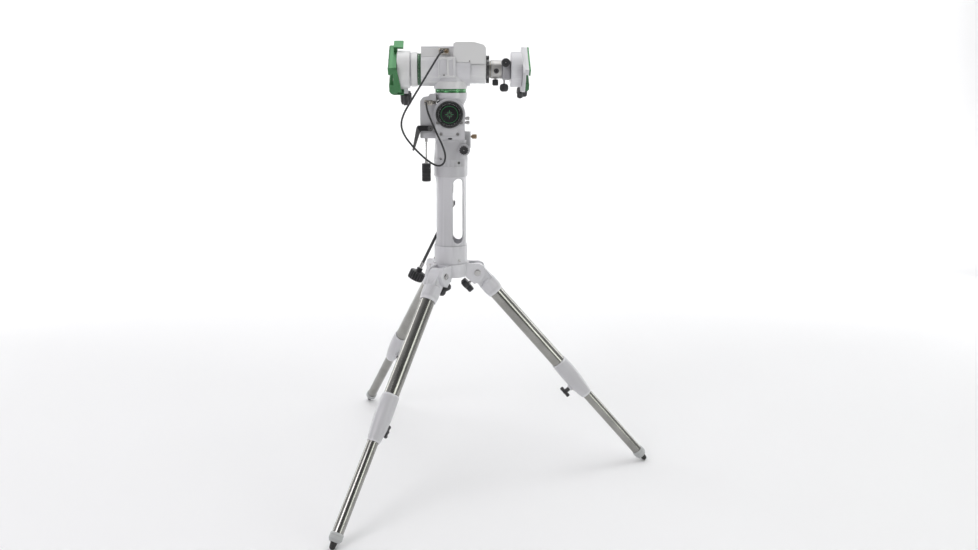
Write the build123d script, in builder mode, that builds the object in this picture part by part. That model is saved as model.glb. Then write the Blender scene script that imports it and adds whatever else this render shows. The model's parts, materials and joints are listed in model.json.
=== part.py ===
from build123d import *
from math import atan2, cos, degrees, pi, radians, sin, sqrt, tan
import os

os.makedirs("parts", exist_ok=True)

# Telescope mount on a pillar tripod. Millimetres, +Z up, ground at z = 0, pillar axis on Z.
# The front of the mount faces -Y and one leg points along +X.

# ---------------------------------------------------------------- driving dimensions
LEG_AZIMUTHS = {"right": 0, "rear": 120, "front": 240}
PIVOT_R = 82.4            # leg pivot, from the pillar axis
PIVOT_Z = 623.6
FOOT_R = 621.3            # centre of the foot tip, from the pillar axis
TIP_R = 8.0               # ball end of the foot tip
UPPER_TUBE_R = 22.2       # 1.75 in tube
LOWER_TUBE_R = 15.875     # 1.25 in tube
TUBE_WALL = 1.5
RUN = 0.05                # radial clearance of a running or sliding fit
GAP = 0.3                 # clearance between faces that pass each other

HUB_R = 56.0
HUB_INNER_R = 47.5
HUB_Z0 = 612.0
HUB_Z1 = 652.7
LEDGE_Z0 = 637.0
PILLAR_Z0 = 641.0
PILLAR_Z1 = 946.0
PILLAR_R = 48.0
PILLAR_WALL = 4.0
PILLAR_COLLAR_R = 51.3
PILLAR_COLLAR_Z1 = 708.0
SLOT_Z0 = 716.5
SLOT_Z1 = 917.0
SLOT_W = 36.8
SLOT_AZIMUTHS = (-60, 60, 180)

TONGUE_HALF = 18.0        # leg tongue between the two ears of the hub
EAR_T = 11.0
BOLT_R = 5.0
HEAD_R = 27.5             # leg head casting
SLEEVE_TOP = 392.0        # distances along the leg from its pivot
SLEEVE_END = 531.0
UPPER_TUBE_END = 474.0
LOWER_TUBE_TOP = 300.0
COLLAR_TOP = 783.0
COLLAR_END = 807.0
LOCK_KNOB_AT = 482.0
SLEEVE_SECTIONS = ((SLEEVE_TOP, 24.6, 0), (437, 26.4, 0), (487, 24.2, 1.5), (SLEEVE_END, 18.4, 0.6))
SPREAD_KNOB_AT = 12.0

HEAD_COLLAR_R = 51.5      # pillar head
HEAD_Z0 = 922.0
HEAD_Z1 = 954.0
BASE_R = 52.0             # azimuth base
BASE_Z0 = HEAD_Z1 + GAP
BASE_TOP = 1036.0
PEG_X = 39.0
AZ_SCREW_Z = 1006.0
LAT_X = -4.0              # latitude axle, along Y
LAT_Z = 1112.5
CHEEK_Y0 = 50.0
CHEEK_Y1 = 62.0
CHEEK_R = 48.0
BARREL_R = 47.0
TRUNNION_R = 20.0
COVER_R = 40.9
RA_TOP = 1176.0
RA_NECK_R = 50.0
SHAFT_R = 15.0
WHEEL_R = 36.0            # worm wheels
WORM_R = 6.5
WORM_OFFSET = WHEEL_R + WORM_R + 0.2
RING_R = 47.0             # RA setting circle
COLLAR_Z = 1188.0         # underside of the DEC housing
COLLAR_R = 51.0
DEC_Z = 1246.0            # DEC axis, along X
DEC_R = 50.0
DEC_X0 = -89.0
DEC_X1 = 58.0
DRUM_R = 43.0
DEC_X2 = 105.0
SADDLE_TILT = 38.0        # elevation of the long axis of both saddles
LEFT_FACE_X = -161.0
RIGHT_FACE_X = 214.0
BALL_Z = 829.0            # ball joint between the adjuster shaft and rod
ROD_TILT = 26.0
BALL_R = 9.05
CABLE_R = 2.9

# ---------------------------------------------------------------- derived frames
LEG_DROP = PIVOT_Z - TIP_R
LEG_REACH = FOOT_R - PIVOT_R
LEG_LENGTH = sqrt(LEG_DROP**2 + LEG_REACH**2)
LEG_ANGLE = degrees(atan2(LEG_REACH, LEG_DROP))
INNER_TUBE_R = UPPER_TUBE_R - TUBE_WALL
LONG = Vector(0, cos(radians(SADDLE_TILT)), sin(radians(SADDLE_TILT)))
ROD_DIR = Vector(-sin(radians(ROD_TILT)), 0, -cos(radians(ROD_TILT)))


def save(builder, label):
    """Label a finished piece and write its STEP file."""
    builder.part.label = label
    export_step(builder.part, f"parts/{label}.step")


def radial(azimuth):
    """Unit vector that points away from the pillar axis."""
    return Vector(cos(radians(azimuth)), sin(radians(azimuth)), 0)


def pivot_point(azimuth):
    """Centre of a leg's pivot bolt."""
    return radial(azimuth) * PIVOT_R + Vector(0, 0, PIVOT_Z)


def leg_along(azimuth):
    """Unit vector from a leg's pivot towards its foot."""
    return radial(azimuth) * sin(radians(LEG_ANGLE)) - Vector(0, 0, cos(radians(LEG_ANGLE)))


def leg_inner(azimuth):
    """Unit vector square to the leg, towards the inside of the tripod."""
    return radial(azimuth) * -cos(radians(LEG_ANGLE)) - Vector(0, 0, sin(radians(LEG_ANGLE)))


def leg_plane(azimuth, along=0.0):
    """Plane across the leg: x towards the inside, z along the leg."""
    origin = pivot_point(azimuth) + leg_along(azimuth) * along
    return Plane(origin=origin, x_dir=leg_inner(azimuth), z_dir=leg_along(azimuth))


def leg_side_plane(azimuth):
    """Plane that holds the leg's axis: x along the leg, y towards the inside."""
    side = leg_along(azimuth).cross(leg_inner(azimuth))
    return Plane(origin=pivot_point(azimuth), x_dir=leg_along(azimuth), z_dir=side)


def leg_inner_plane(azimuth, along, out):
    """Plane that faces the inside of the tripod at a distance from the leg's axis."""
    origin = pivot_point(azimuth) + leg_along(azimuth) * along + leg_inner(azimuth) * out
    return Plane(origin=origin, x_dir=leg_along(azimuth), z_dir=leg_inner(azimuth))


def lobed_knob(plane, radius, height, lobes, shank_radius, shank_length):
    """Knob with scalloped rim that stands on the plane, its shank reaching back from it."""
    with BuildPart() as knob:
        with BuildSketch(plane):
            Circle(radius)
            with PolarLocations(radius * 1.15, lobes):
                Circle(radius * 0.3, mode=Mode.SUBTRACT)
        extrude(amount=height)
        with BuildSketch(plane):
            Circle(shank_radius)
        extrude(amount=-shank_length)
    return knob


def round_knob(plane, radius, height, edge, shank_radius, shank_length):
    """Plain round knob with broken edges and a shank."""
    with BuildPart() as knob:
        with BuildSketch(plane):
            Circle(radius)
        extrude(amount=height)
        chamfer(knob.edges().filter_by(GeomType.CIRCLE), edge)
        with BuildSketch(plane):
            Circle(shank_radius)
        extrude(amount=-shank_length)
    return knob


# ---------------------------------------------------------------- tripod hub
EAR_INNER = TONGUE_HALF + 0.4
EAR_POINTS = ((-36, 27.5), (4, 27.5), (19, 21), (26, 4), (20, -14), (7, -29), (-10, -36), (-36, -14))

with BuildPart() as tripod_hub:
    with BuildSketch(Plane.XY.offset(HUB_Z0)):
        Circle(HUB_R)
    extrude(amount=HUB_Z1 - HUB_Z0)
    for azimuth in LEG_AZIMUTHS.values():
        for side in (-1, 1):
            out = radial(azimuth)
            lateral = Vector(0, 0, 1).cross(out) * side
            ear_plane = Plane(origin=pivot_point(azimuth) + lateral * EAR_INNER, x_dir=out, z_dir=lateral)
            flip = 1 if ear_plane.y_dir.Z > 0 else -1
            with BuildSketch(ear_plane):
                with BuildLine():
                    Polyline(*[(x, flip * y) for x, y in EAR_POINTS], close=True)
                make_face()
                fillet(vertices().sort_by(Axis.X)[-5:], 7)
            extrude(amount=EAR_T)
    with BuildSketch(Plane.XY.offset(HUB_Z0 - 40)):
        Circle(HUB_INNER_R)
    extrude(amount=LEDGE_Z0 - HUB_Z0 + 40, mode=Mode.SUBTRACT)
    with BuildSketch(Plane.XY.offset(LEDGE_Z0)):
        Circle(PILLAR_R - PILLAR_WALL - 3)
    extrude(amount=HUB_Z1 - LEDGE_Z0, mode=Mode.SUBTRACT)
    with BuildSketch(Plane.XY.offset(PILLAR_Z0)):
        Circle(PILLAR_R + RUN)
    extrude(amount=HUB_Z1 - PILLAR_Z0, mode=Mode.SUBTRACT)
    for azimuth in LEG_AZIMUTHS.values():
        slot_origin = Vector(0, 0, HUB_Z0 + 7) + radial(azimuth) * 40
        with BuildSketch(Plane(origin=slot_origin, x_dir=(0, 0, 1), z_dir=radial(azimuth))):
            Rectangle(34, 2 * EAR_INNER)
        extrude(amount=20, mode=Mode.SUBTRACT)
        with BuildSketch(leg_side_plane(azimuth)):
            Circle(BOLT_R + RUN)
        extrude(amount=40, both=True, mode=Mode.SUBTRACT)
save(tripod_hub, "tripod_hub")

# ---------------------------------------------------------------- pivot bolts
BOLT_HALF = EAR_INNER + EAR_T
with BuildPart() as pivot_bolts:
    for azimuth in LEG_AZIMUTHS.values():
        with BuildSketch(leg_side_plane(azimuth)):
            Circle(BOLT_R)
        extrude(amount=BOLT_HALF + 3, both=True)
        for side in (-1, 1):
            with BuildSketch(leg_side_plane(azimuth).offset(side * BOLT_HALF)):
                RegularPolygon(radius=8.5, side_count=6)
            extrude(amount=side * 5.5)
            with BuildSketch(leg_side_plane(azimuth).offset(side * BOLT_HALF)):
                Circle(10)
            extrude(amount=side * 1.5)
save(pivot_bolts, "pivot_bolts")

# ---------------------------------------------------------------- pillar
SLOT_MID = (SLOT_Z0 + SLOT_Z1) / 2
with BuildPart() as pillar_tube:
    with BuildSketch(Plane.XY.offset(PILLAR_Z0)):
        Circle(PILLAR_R)
        Circle(PILLAR_R - PILLAR_WALL, mode=Mode.SUBTRACT)
    extrude(amount=PILLAR_Z1 - PILLAR_Z0)
    with BuildSketch(Plane.XY.offset(HUB_Z1 + GAP)):
        Circle(PILLAR_COLLAR_R)
        Circle(PILLAR_R - PILLAR_WALL, mode=Mode.SUBTRACT)
    extrude(amount=PILLAR_COLLAR_Z1 - HUB_Z1 - GAP)
    for azimuth in SLOT_AZIMUTHS:
        with BuildSketch(Plane(origin=(0, 0, SLOT_MID), x_dir=(0, 0, 1), z_dir=radial(azimuth))):
            SlotOverall(SLOT_Z1 - SLOT_Z0, SLOT_W)
        extrude(amount=PILLAR_R + 10, mode=Mode.SUBTRACT)
save(pillar_tube, "pillar_tube")

SPIGOT_R = 30.0
PEG_R = 6.0
with BuildPart() as pillar_head:
    with BuildSketch(Plane.XY.offset(HEAD_Z0)):
        Circle(HEAD_COLLAR_R)
        Circle(PILLAR_R + RUN, mode=Mode.SUBTRACT)
    extrude(amount=PILLAR_Z1 - HEAD_Z0 + GAP)
    with BuildSketch(Plane.XY.offset(PILLAR_Z1 + GAP)):
        Circle(HEAD_COLLAR_R)
    extrude(amount=HEAD_Z1 - PILLAR_Z1 - GAP)
    with BuildSketch(Plane.XY.offset(HEAD_Z0 + 8)):
        Circle(PILLAR_R - PILLAR_WALL - RUN)
    extrude(amount=HEAD_Z1 - HEAD_Z0 - 8)
    with BuildSketch(Plane.XY.offset(HEAD_Z1)):
        with Locations((PEG_X, 0)):
            Circle(PEG_R)
    extrude(amount=58)
    with BuildSketch(Plane.XY.offset(HEAD_Z0)):
        Circle(SPIGOT_R + RUN)
    extrude(amount=HEAD_Z1 - HEAD_Z0, mode=Mode.SUBTRACT)
    lowest_circles = pillar_head.edges().filter_by(GeomType.CIRCLE).group_by(Axis.Z)[0]
    chamfer(lowest_circles.sort_by(SortBy.RADIUS)[-1], 1.5)
save(pillar_head, "pillar_head")

# ---------------------------------------------------------------- legs
for name, azimuth in LEG_AZIMUTHS.items():
    with BuildPart() as leg_castings:
        with BuildSketch(leg_side_plane(azimuth)):
            Circle(24)
            with Locations((22, 0)):
                Rectangle(44, 48)
        extrude(amount=TONGUE_HALF, both=True)
        with BuildSketch(leg_side_plane(azimuth)):
            with BuildLine():
                Polyline((38, 0), (38, 23), (44, HEAD_R), (70, HEAD_R), (88, 24.8), (88, 0), close=True)
            make_face()
        revolve(axis=Axis(pivot_point(azimuth), leg_along(azimuth)))
        with BuildSketch(leg_plane(azimuth, 58)):
            Circle(UPPER_TUBE_R + RUN)
        extrude(amount=40, mode=Mode.SUBTRACT)
        with BuildSketch(leg_side_plane(azimuth)):
            Circle(BOLT_R + RUN)
        extrude(amount=30, both=True, mode=Mode.SUBTRACT)
        with BuildSketch(leg_inner_plane(azimuth, SPREAD_KNOB_AT, 12)):
            Circle(4 + RUN)
        extrude(amount=20, mode=Mode.SUBTRACT)
        for along, radius, bulge in SLEEVE_SECTIONS:
            with BuildSketch(leg_plane(azimuth, along)):
                with Locations((bulge, 0)):
                    Circle(radius)
        loft()
        with BuildSketch(leg_inner_plane(azimuth, LOCK_KNOB_AT, 18.5)):
            Circle(10.5)
        extrude(amount=12)
        with BuildSketch(leg_plane(azimuth, SLEEVE_TOP - 1)):
            Circle(UPPER_TUBE_R + RUN)
        extrude(amount=UPPER_TUBE_END + 1 - SLEEVE_TOP + 1, mode=Mode.SUBTRACT)
        with BuildSketch(leg_plane(azimuth, UPPER_TUBE_END)):
            Circle(LOWER_TUBE_R + RUN)
        extrude(amount=SLEEVE_END - UPPER_TUBE_END + 5, mode=Mode.SUBTRACT)
        with BuildSketch(leg_inner_plane(azimuth, LOCK_KNOB_AT, 10)):
            Circle(4 + RUN)
        extrude(amount=30, mode=Mode.SUBTRACT)
    save(leg_castings, f"leg_castings_{name}")

    with BuildPart() as upper_tube:
        with BuildSketch(leg_plane(azimuth, 58 + GAP)):
            Circle(UPPER_TUBE_R)
            Circle(INNER_TUBE_R, mode=Mode.SUBTRACT)
        extrude(amount=UPPER_TUBE_END - 58 - GAP)
    save(upper_tube, f"upper_tube_{name}")

    with BuildPart() as lock_knob:
        with BuildSketch(leg_inner_plane(azimuth, LOCK_KNOB_AT, 44)):
            SlotOverall(37, 11)
        extrude(amount=11)
        with BuildSketch(leg_inner_plane(azimuth, LOCK_KNOB_AT, 31)):
            Circle(6.5)
        extrude(amount=14)
        with BuildSketch(leg_inner_plane(azimuth, LOCK_KNOB_AT, LOWER_TUBE_R + 0.4)):
            Circle(4)
        extrude(amount=20)
    save(lock_knob, f"lock_knob_{name}")

    with BuildPart() as lower_tube:
        with BuildSketch(leg_plane(azimuth, LOWER_TUBE_TOP)):
            Circle(LOWER_TUBE_R)
            Circle(LOWER_TUBE_R - TUBE_WALL, mode=Mode.SUBTRACT)
        extrude(amount=COLLAR_END - 10 - LOWER_TUBE_TOP)
        with BuildSketch(leg_plane(azimuth, LOWER_TUBE_TOP)):
            Circle(INNER_TUBE_R - RUN)
            Circle(LOWER_TUBE_R - TUBE_WALL, mode=Mode.SUBTRACT)
        extrude(amount=24)
    save(lower_tube, f"lower_tube_{name}")

    with BuildPart() as foot:
        with BuildSketch(leg_side_plane(azimuth)):
            with BuildLine():
                Polyline((COLLAR_TOP, 0), (COLLAR_TOP, 17.4), (COLLAR_TOP + 3, 18.6), (COLLAR_TOP + 16, 18.6),
                         (COLLAR_END, 14), (COLLAR_END, 0), close=True)
            make_face()
        revolve(axis=Axis(pivot_point(azimuth), leg_along(azimuth)))
        with BuildSketch(leg_plane(azimuth, COLLAR_TOP)):
            Circle(LOWER_TUBE_R + RUN)
        extrude(amount=COLLAR_END - 10 - COLLAR_TOP + GAP, mode=Mode.SUBTRACT)
        with BuildSketch(leg_side_plane(azimuth)):
            with BuildLine():
                tip_side = Line((COLLAR_END, 9.5), (LEG_LENGTH, TIP_R))
                tip_end = JernArc(tip_side @ 1, (1, 0), TIP_R, -90)
                Polyline(tip_end @ 1, (COLLAR_END, 0), (COLLAR_END, 9.5))
            make_face()
        revolve(axis=Axis(pivot_point(azimuth), leg_along(azimuth)))
    save(foot, f"foot_{name}")

    spread_knob = lobed_knob(leg_inner_plane(azimuth, SPREAD_KNOB_AT, 45), 25, 18, 3, 4, 30)
    save(spread_knob, f"spread_knob_{name}")

# ---------------------------------------------------------------- azimuth base
with BuildPart() as wedge_base:
    with BuildSketch(Plane.XY.offset(BASE_Z0)):
        Circle(BASE_R)
    extrude(amount=20)
    with BuildSketch(Plane.XY.offset(BASE_Z0 + 20)):
        Circle(BASE_R)
    with BuildSketch(Plane.XY.offset(BASE_TOP)):
        RectangleRounded(95, 2 * CHEEK_Y1 + 4, 24)
    loft()
    with BuildSketch(Plane.XZ.offset(-60)):
        with Locations((PEG_X, AZ_SCREW_Z)):
            Circle(18.5)
    extrude(amount=120)
    with BuildSketch(Plane.XY.offset(HEAD_Z0 + 10)):
        Circle(SPIGOT_R)
    extrude(amount=BASE_Z0 - HEAD_Z0 - 10)
    for side in (-1, 1):
        with BuildSketch(Plane.XY.offset(BASE_TOP)):
            with Locations((-2, side * (CHEEK_Y0 - 5))):
                Rectangle(76, 10)
        extrude(amount=25)
    with BuildSketch(Plane.XY.offset(AZ_SCREW_Z + 4)):
        with Locations((49, -20)):
            RectangleRounded(23, 30, 3)
    extrude(amount=50)
    with BuildSketch(Plane.XY.offset(BASE_Z0)):
        with Locations((39.2, 0)):
            Rectangle(18.4, 28)
    extrude(amount=62, mode=Mode.SUBTRACT)
    with BuildSketch(Plane.XZ.offset(-60)):
        with Locations((PEG_X, AZ_SCREW_Z)):
            Circle(4 + RUN)
    extrude(amount=120, mode=Mode.SUBTRACT)
    with BuildSketch(Plane.XY.offset(HEAD_Z0 + 10)):
        Circle(8 + RUN)
    extrude(amount=92, mode=Mode.SUBTRACT)
    with BuildSketch(Plane.YZ.offset(36)):
        with Locations((-20, 1044)):
            Circle(3 + RUN)
    extrude(amount=30, mode=Mode.SUBTRACT)
    for side in (-1, 1):
        with BuildSketch(Plane.XZ.offset(side * -CHEEK_Y0)):
            with Locations((-29.4, 1053.9), (20.6, 1053.9)):
                Circle(2.5)
        extrude(amount=side * 10, mode=Mode.SUBTRACT)
save(wedge_base, "wedge_base")

for name, side in {"front": -1, "rear": 1}.items():
    knob_plane = Plane(origin=(PEG_X, side * 61, AZ_SCREW_Z), x_dir=(1, 0, 0), z_dir=(0, side, 0))
    azimuth_knob = lobed_knob(knob_plane, 13.8, 15, 12, 4, 51)
    save(azimuth_knob, f"azimuth_knob_{name}")

with BuildPart() as latitude_stop_screw:
    with BuildSketch(Plane.XZ.offset(20)):
        with BuildLine():
            Polyline((44, 1044), (44, 1047), (62, 1047), (65, 1049.5), (77, 1051), (79, 1050), (79, 1044),
                     close=True)
        make_face()
    revolve(axis=Axis((0, -20, 1044), (1, 0, 0)))
save(latitude_stop_screw, "latitude_stop_screw")

with BuildPart() as fork_cheeks:
    for side in (-1, 1):
        with BuildSketch(Plane.XZ.offset(side * CHEEK_Y0)):
            with Locations((LAT_X, LAT_Z)):
                Circle(CHEEK_R)
            with Locations(((-46 + 42) / 2, (BASE_TOP + LAT_Z) / 2)):
                Rectangle(88, LAT_Z - BASE_TOP)
            with Locations((LAT_X, LAT_Z)):
                Circle(TRUNNION_R + RUN, mode=Mode.SUBTRACT)
            with Locations((-29.4, 1053.9), (20.6, 1053.9)):
                Circle(3.2, mode=Mode.SUBTRACT)
        extrude(amount=side * (CHEEK_Y1 - CHEEK_Y0))
        with BuildSketch(Plane.XZ.offset(side * CHEEK_Y1)):
            with Locations((-29.4, 1053.9), (20.6, 1053.9)):
                Circle(5)
        extrude(amount=side * -3.5, mode=Mode.SUBTRACT)
save(fork_cheeks, "fork_cheeks")

with BuildPart() as latitude_covers:
    for side in (-1, 1):
        with BuildSketch(Plane.YZ.offset(LAT_X)):
            with BuildLine():
                Polyline((side * CHEEK_Y1, LAT_Z + COVER_R), (side * (CHEEK_Y1 + 6), LAT_Z + COVER_R),
                         (side * (CHEEK_Y1 + 9), LAT_Z + COVER_R - 4), (side * (CHEEK_Y1 + 10), LAT_Z),
                         (side * (CHEEK_Y1 + 5), LAT_Z), (side * (CHEEK_Y1 + 5), LAT_Z + 24),
                         (side * CHEEK_Y1, LAT_Z + 24), close=True)
            make_face()
        revolve(axis=Axis((LAT_X, 0, LAT_Z), (0, 1, 0)))
save(latitude_covers, "latitude_covers")

# ---------------------------------------------------------------- latitude adjuster
with BuildPart() as adjuster_shaft:
    with BuildSketch(Plane.XY.offset(BALL_Z + 14)):
        Circle(6)
    extrude(amount=1020 - BALL_Z - 14)
    with BuildSketch(Plane.XY.offset(BALL_Z + 40)):
        Circle(8)
    extrude(amount=1018 - BALL_Z - 40)
    with BuildSketch(Plane.XZ):
        with BuildLine():
            cup_arc = CenterArc((0, BALL_Z), BALL_R + 2 * RUN, 8, 82)
            Polyline(cup_arc @ 1, (0, BALL_Z + 16), (14, BALL_Z + 16), (14, (cup_arc @ 0).Y), cup_arc @ 0)
        make_face()
    revolve(axis=Axis.Z)
save(adjuster_shaft, "adjuster_shaft")

ROD_LENGTH = 228.0
with BuildPart() as adjuster_rod:
    with BuildSketch(Plane(origin=(0, 0, BALL_Z), x_dir=(0, 1, 0), z_dir=ROD_DIR)):
        Circle(4.6)
    extrude(amount=ROD_LENGTH)
    with Locations((0, 0, BALL_Z)):
        Sphere(BALL_R)
save(adjuster_rod, "adjuster_rod")

with BuildPart() as hand_wheel:
    wheel_origin = Vector(0, 0, BALL_Z) + ROD_DIR * (ROD_LENGTH + GAP - 10)
    with BuildSketch(Plane(origin=wheel_origin, x_dir=(0, 1, 0), z_dir=ROD_DIR)):
        Circle(9)
    extrude(amount=12)
    with BuildSketch(Plane(origin=wheel_origin + ROD_DIR * 12, x_dir=(0, 1, 0), z_dir=ROD_DIR)):
        Circle(25)
        with PolarLocations(27, 18):
            Circle(3.4, mode=Mode.SUBTRACT)
    extrude(amount=29)
    with BuildSketch(Plane(origin=wheel_origin, x_dir=(0, 1, 0), z_dir=ROD_DIR)):
        Circle(4.6 + RUN)
    extrude(amount=10 + GAP, mode=Mode.SUBTRACT)
save(hand_wheel, "hand_wheel")

# ---------------------------------------------------------------- right ascension unit
LEFT_X0 = -92.0
LEFT_X1 = -44.0
LEFT_Y0 = -44.0
LEFT_Y1 = 34.0
LEFT_Z0 = 1040.0
RA_WHEEL_Z = 1158.0
NECK_PROFILE = ((0, LAT_Z), (40, LAT_Z), (40, 1141), (RA_NECK_R, 1160), (RA_NECK_R, RA_TOP), (0, RA_TOP))

with BuildPart() as ra_housing:
    with BuildSketch(Plane.XZ):
        with Locations((LAT_X, LAT_Z)):
            Circle(BARREL_R)
    extrude(amount=38, both=True)
    with BuildSketch(Plane.XZ):
        with Locations((LAT_X, LAT_Z)):
            Circle(TRUNNION_R)
    extrude(amount=CHEEK_Y1 - GAP, both=True)
    with BuildSketch(Plane.XZ):
        with BuildLine():
            Polyline(*NECK_PROFILE, close=True)
        make_face()
    revolve(axis=Axis.Z)
    with BuildSketch(Plane.XY.offset(LAT_Z - BARREL_R - 2)):
        Circle(SHAFT_R + RUN)
    extrude(amount=RA_TOP - LAT_Z + BARREL_R + 4, mode=Mode.SUBTRACT)
    with BuildSketch(Plane.XY.offset(RA_WHEEL_Z - 9)):
        Circle(WHEEL_R + 2)
    extrude(amount=RA_TOP - RA_WHEEL_Z + 9, mode=Mode.SUBTRACT)
    with BuildSketch(Plane.XZ.offset(-30)):
        with Locations((-WORM_OFFSET, RA_WHEEL_Z)):
            Circle(WORM_R + 1.5)
    extrude(amount=60, mode=Mode.SUBTRACT)
save(ra_housing, "ra_housing")

SOCKET_X = -50.0
SOCKET_Z = 1148.0
SOCKET_R = 2.85
WALL = 3.0
LEFT_OUTLINE = ((LEFT_X1, LEFT_Z0), (LEFT_X0, LEFT_Z0), (LEFT_X0, 1152), (-84, 1163), (-67, 1166),
                (-63, 1173), (LEFT_X1, 1173))
with BuildPart() as ra_motor_cover:
    with BuildSketch(Plane.XZ.offset(-LEFT_Y1)) as left_outline:
        with BuildLine():
            Polyline(*LEFT_OUTLINE, close=True)
        make_face()
        fillet(left_outline.vertices().sort_by(Axis.X)[:3], 5)
    extrude(amount=LEFT_Y1 - LEFT_Y0)
    front_lines = ra_motor_cover.faces().sort_by(Axis.Y)[0].edges().filter_by(GeomType.LINE)
    chamfer(front_lines.sort_by(Axis.X)[:4], 1.5)
    with BuildSketch(Plane.XZ.offset(-LEFT_Y1 + WALL)):
        with BuildLine():
            Polyline((LEFT_X1 + 1, LEFT_Z0 + WALL), (LEFT_X0 + WALL, LEFT_Z0 + WALL), (LEFT_X0 + WALL, 1150),
                     (-82, 1160), (-65, 1163), (-61, 1170), (LEFT_X1 + 1, 1170), close=True)
        make_face()
    extrude(amount=LEFT_Y1 - LEFT_Y0 - 2 * WALL, mode=Mode.SUBTRACT)
    with BuildSketch(Plane.XZ.offset(-LEFT_Y0 - WALL - 6)):
        with Locations((SOCKET_X, SOCKET_Z)):
            Circle(5.5)
    extrude(amount=6)
    with BuildSketch(Plane.XZ.offset(-LEFT_Y0 - WALL - 6)):
        with Locations((SOCKET_X, SOCKET_Z)):
            Circle(SOCKET_R)
    extrude(amount=WALL + 6, mode=Mode.SUBTRACT)
    with BuildSketch(Plane.XZ):
        with Locations((LAT_X, LAT_Z)):
            Circle(BARREL_R + GAP)
    extrude(amount=38 + GAP, both=True, mode=Mode.SUBTRACT)
    with BuildSketch(Plane.XZ):
        with BuildLine():
            Polyline((0, LAT_Z), (40 + GAP, LAT_Z), (40 + GAP, 1141), (RA_NECK_R + GAP, 1159.8),
                     (RA_NECK_R + GAP, RA_TOP), (0, RA_TOP), close=True)
        make_face()
    revolve(axis=Axis.Z, mode=Mode.SUBTRACT)
save(ra_motor_cover, "ra_motor_cover")


def worm(axis_x, axis_z):
    """Drive worm on its shaft, along Y, with its thread drawn as rings."""
    with BuildPart() as gear:
        with BuildSketch(Plane.YZ.offset(axis_x)):
            with BuildLine():
                rings = [(-30, 0), (-30, 2.5), (-16, 2.5)]
                for turn in range(8):
                    rings += [(-16 + 4 * turn, WORM_R - 1.5), (-15 + 4 * turn, WORM_R)]
                    rings += [(-13.6 + 4 * turn, WORM_R), (-12.6 + 4 * turn, WORM_R - 1.5)]
                rings += [(16, WORM_R - 1.5), (16, 2.5), (26, 2.5), (26, 0)]
                Polyline(*[(y, axis_z + r) for y, r in rings], close=True)
            make_face()
        revolve(axis=Axis((axis_x, 0, axis_z), (0, 1, 0)))
    return gear


def worm_wheel(plane):
    """Worm wheel that fills 14 mm of its shaft from the plane."""
    with BuildPart() as wheel:
        with BuildSketch(plane):
            Circle(WHEEL_R)
            Circle(SHAFT_R + RUN, mode=Mode.SUBTRACT)
            with PolarLocations(WHEEL_R + 0.3, 72):
                Circle(0.9, mode=Mode.SUBTRACT)
        extrude(amount=14)
    return wheel


save(worm(-WORM_OFFSET, RA_WHEEL_Z), "ra_worm")
save(worm_wheel(Plane.XY.offset(RA_WHEEL_Z - 7)), "ra_worm_wheel")

with BuildPart() as ra_clamp_lever:
    with BuildSketch(Plane.XZ.offset(-LEFT_Y0 + GAP)):
        with Locations((-61, 1071)):
            Circle(8.5)
    extrude(amount=15)
    with BuildSketch(Plane.XZ.offset(-LEFT_Y0 + 2)) as lever_outline:
        with BuildLine():
            Polyline((-60, 1079), (-99, 1079), (-103, 1073), (-115.5, 1006), (-113, 1003), (-109.5, 1005),
                     (-92, 1058), (-88, 1063), (-60, 1063), close=True)
        make_face()
        fillet(lever_outline.vertices().sort_by(Axis.X)[:5], 1.8)
    extrude(amount=10)
save(ra_clamp_lever, "ra_clamp_lever")

GRIP_X = -74.5
GRIP_Y = -25.0
with BuildPart() as slow_motion_handle:
    for radius, z0, z1 in ((4.5, 1028, LEFT_Z0 - GAP), (2.5, 974, 1029), (5, 963, 975)):
        with BuildSketch(Plane.XY.offset(z0)):
            with Locations((GRIP_X, GRIP_Y)):
                Circle(radius)
        extrude(amount=z1 - z0)
    with BuildSketch(Plane.XY.offset(908)):
        with Locations((GRIP_X, GRIP_Y)):
            Circle(13.5)
    extrude(amount=55 - GAP)
save(slow_motion_handle, "slow_motion_handle")

RA_PLUG = (-73.0, LEFT_Y0, 1147.0)
with BuildPart() as ra_plug:
    with BuildSketch(Plane.XZ.offset(-RA_PLUG[1])):
        with Locations((RA_PLUG[0], RA_PLUG[2])):
            Circle(6)
    extrude(amount=12)
    with BuildSketch(Plane.XZ.offset(-RA_PLUG[1] + 12)):
        with Locations((RA_PLUG[0], RA_PLUG[2])):
            Circle(4.5)
    extrude(amount=6)
save(ra_plug, "ra_plug")

with BuildPart() as ra_shaft:
    with BuildSketch(Plane.XY.offset(LAT_Z - 44)):
        Circle(SHAFT_R)
        Circle(SHAFT_R - 6, mode=Mode.SUBTRACT)
    extrude(amount=COLLAR_Z + 12 - LAT_Z + 44)
save(ra_shaft, "ra_shaft")

with BuildPart() as ra_setting_circle:
    with BuildSketch(Plane.XY.offset(RA_TOP + GAP)):
        Circle(RING_R)
        Circle(SHAFT_R + RUN, mode=Mode.SUBTRACT)
    extrude(amount=COLLAR_Z - RA_TOP - 2 * GAP)
save(ra_setting_circle, "ra_setting_circle")

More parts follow.
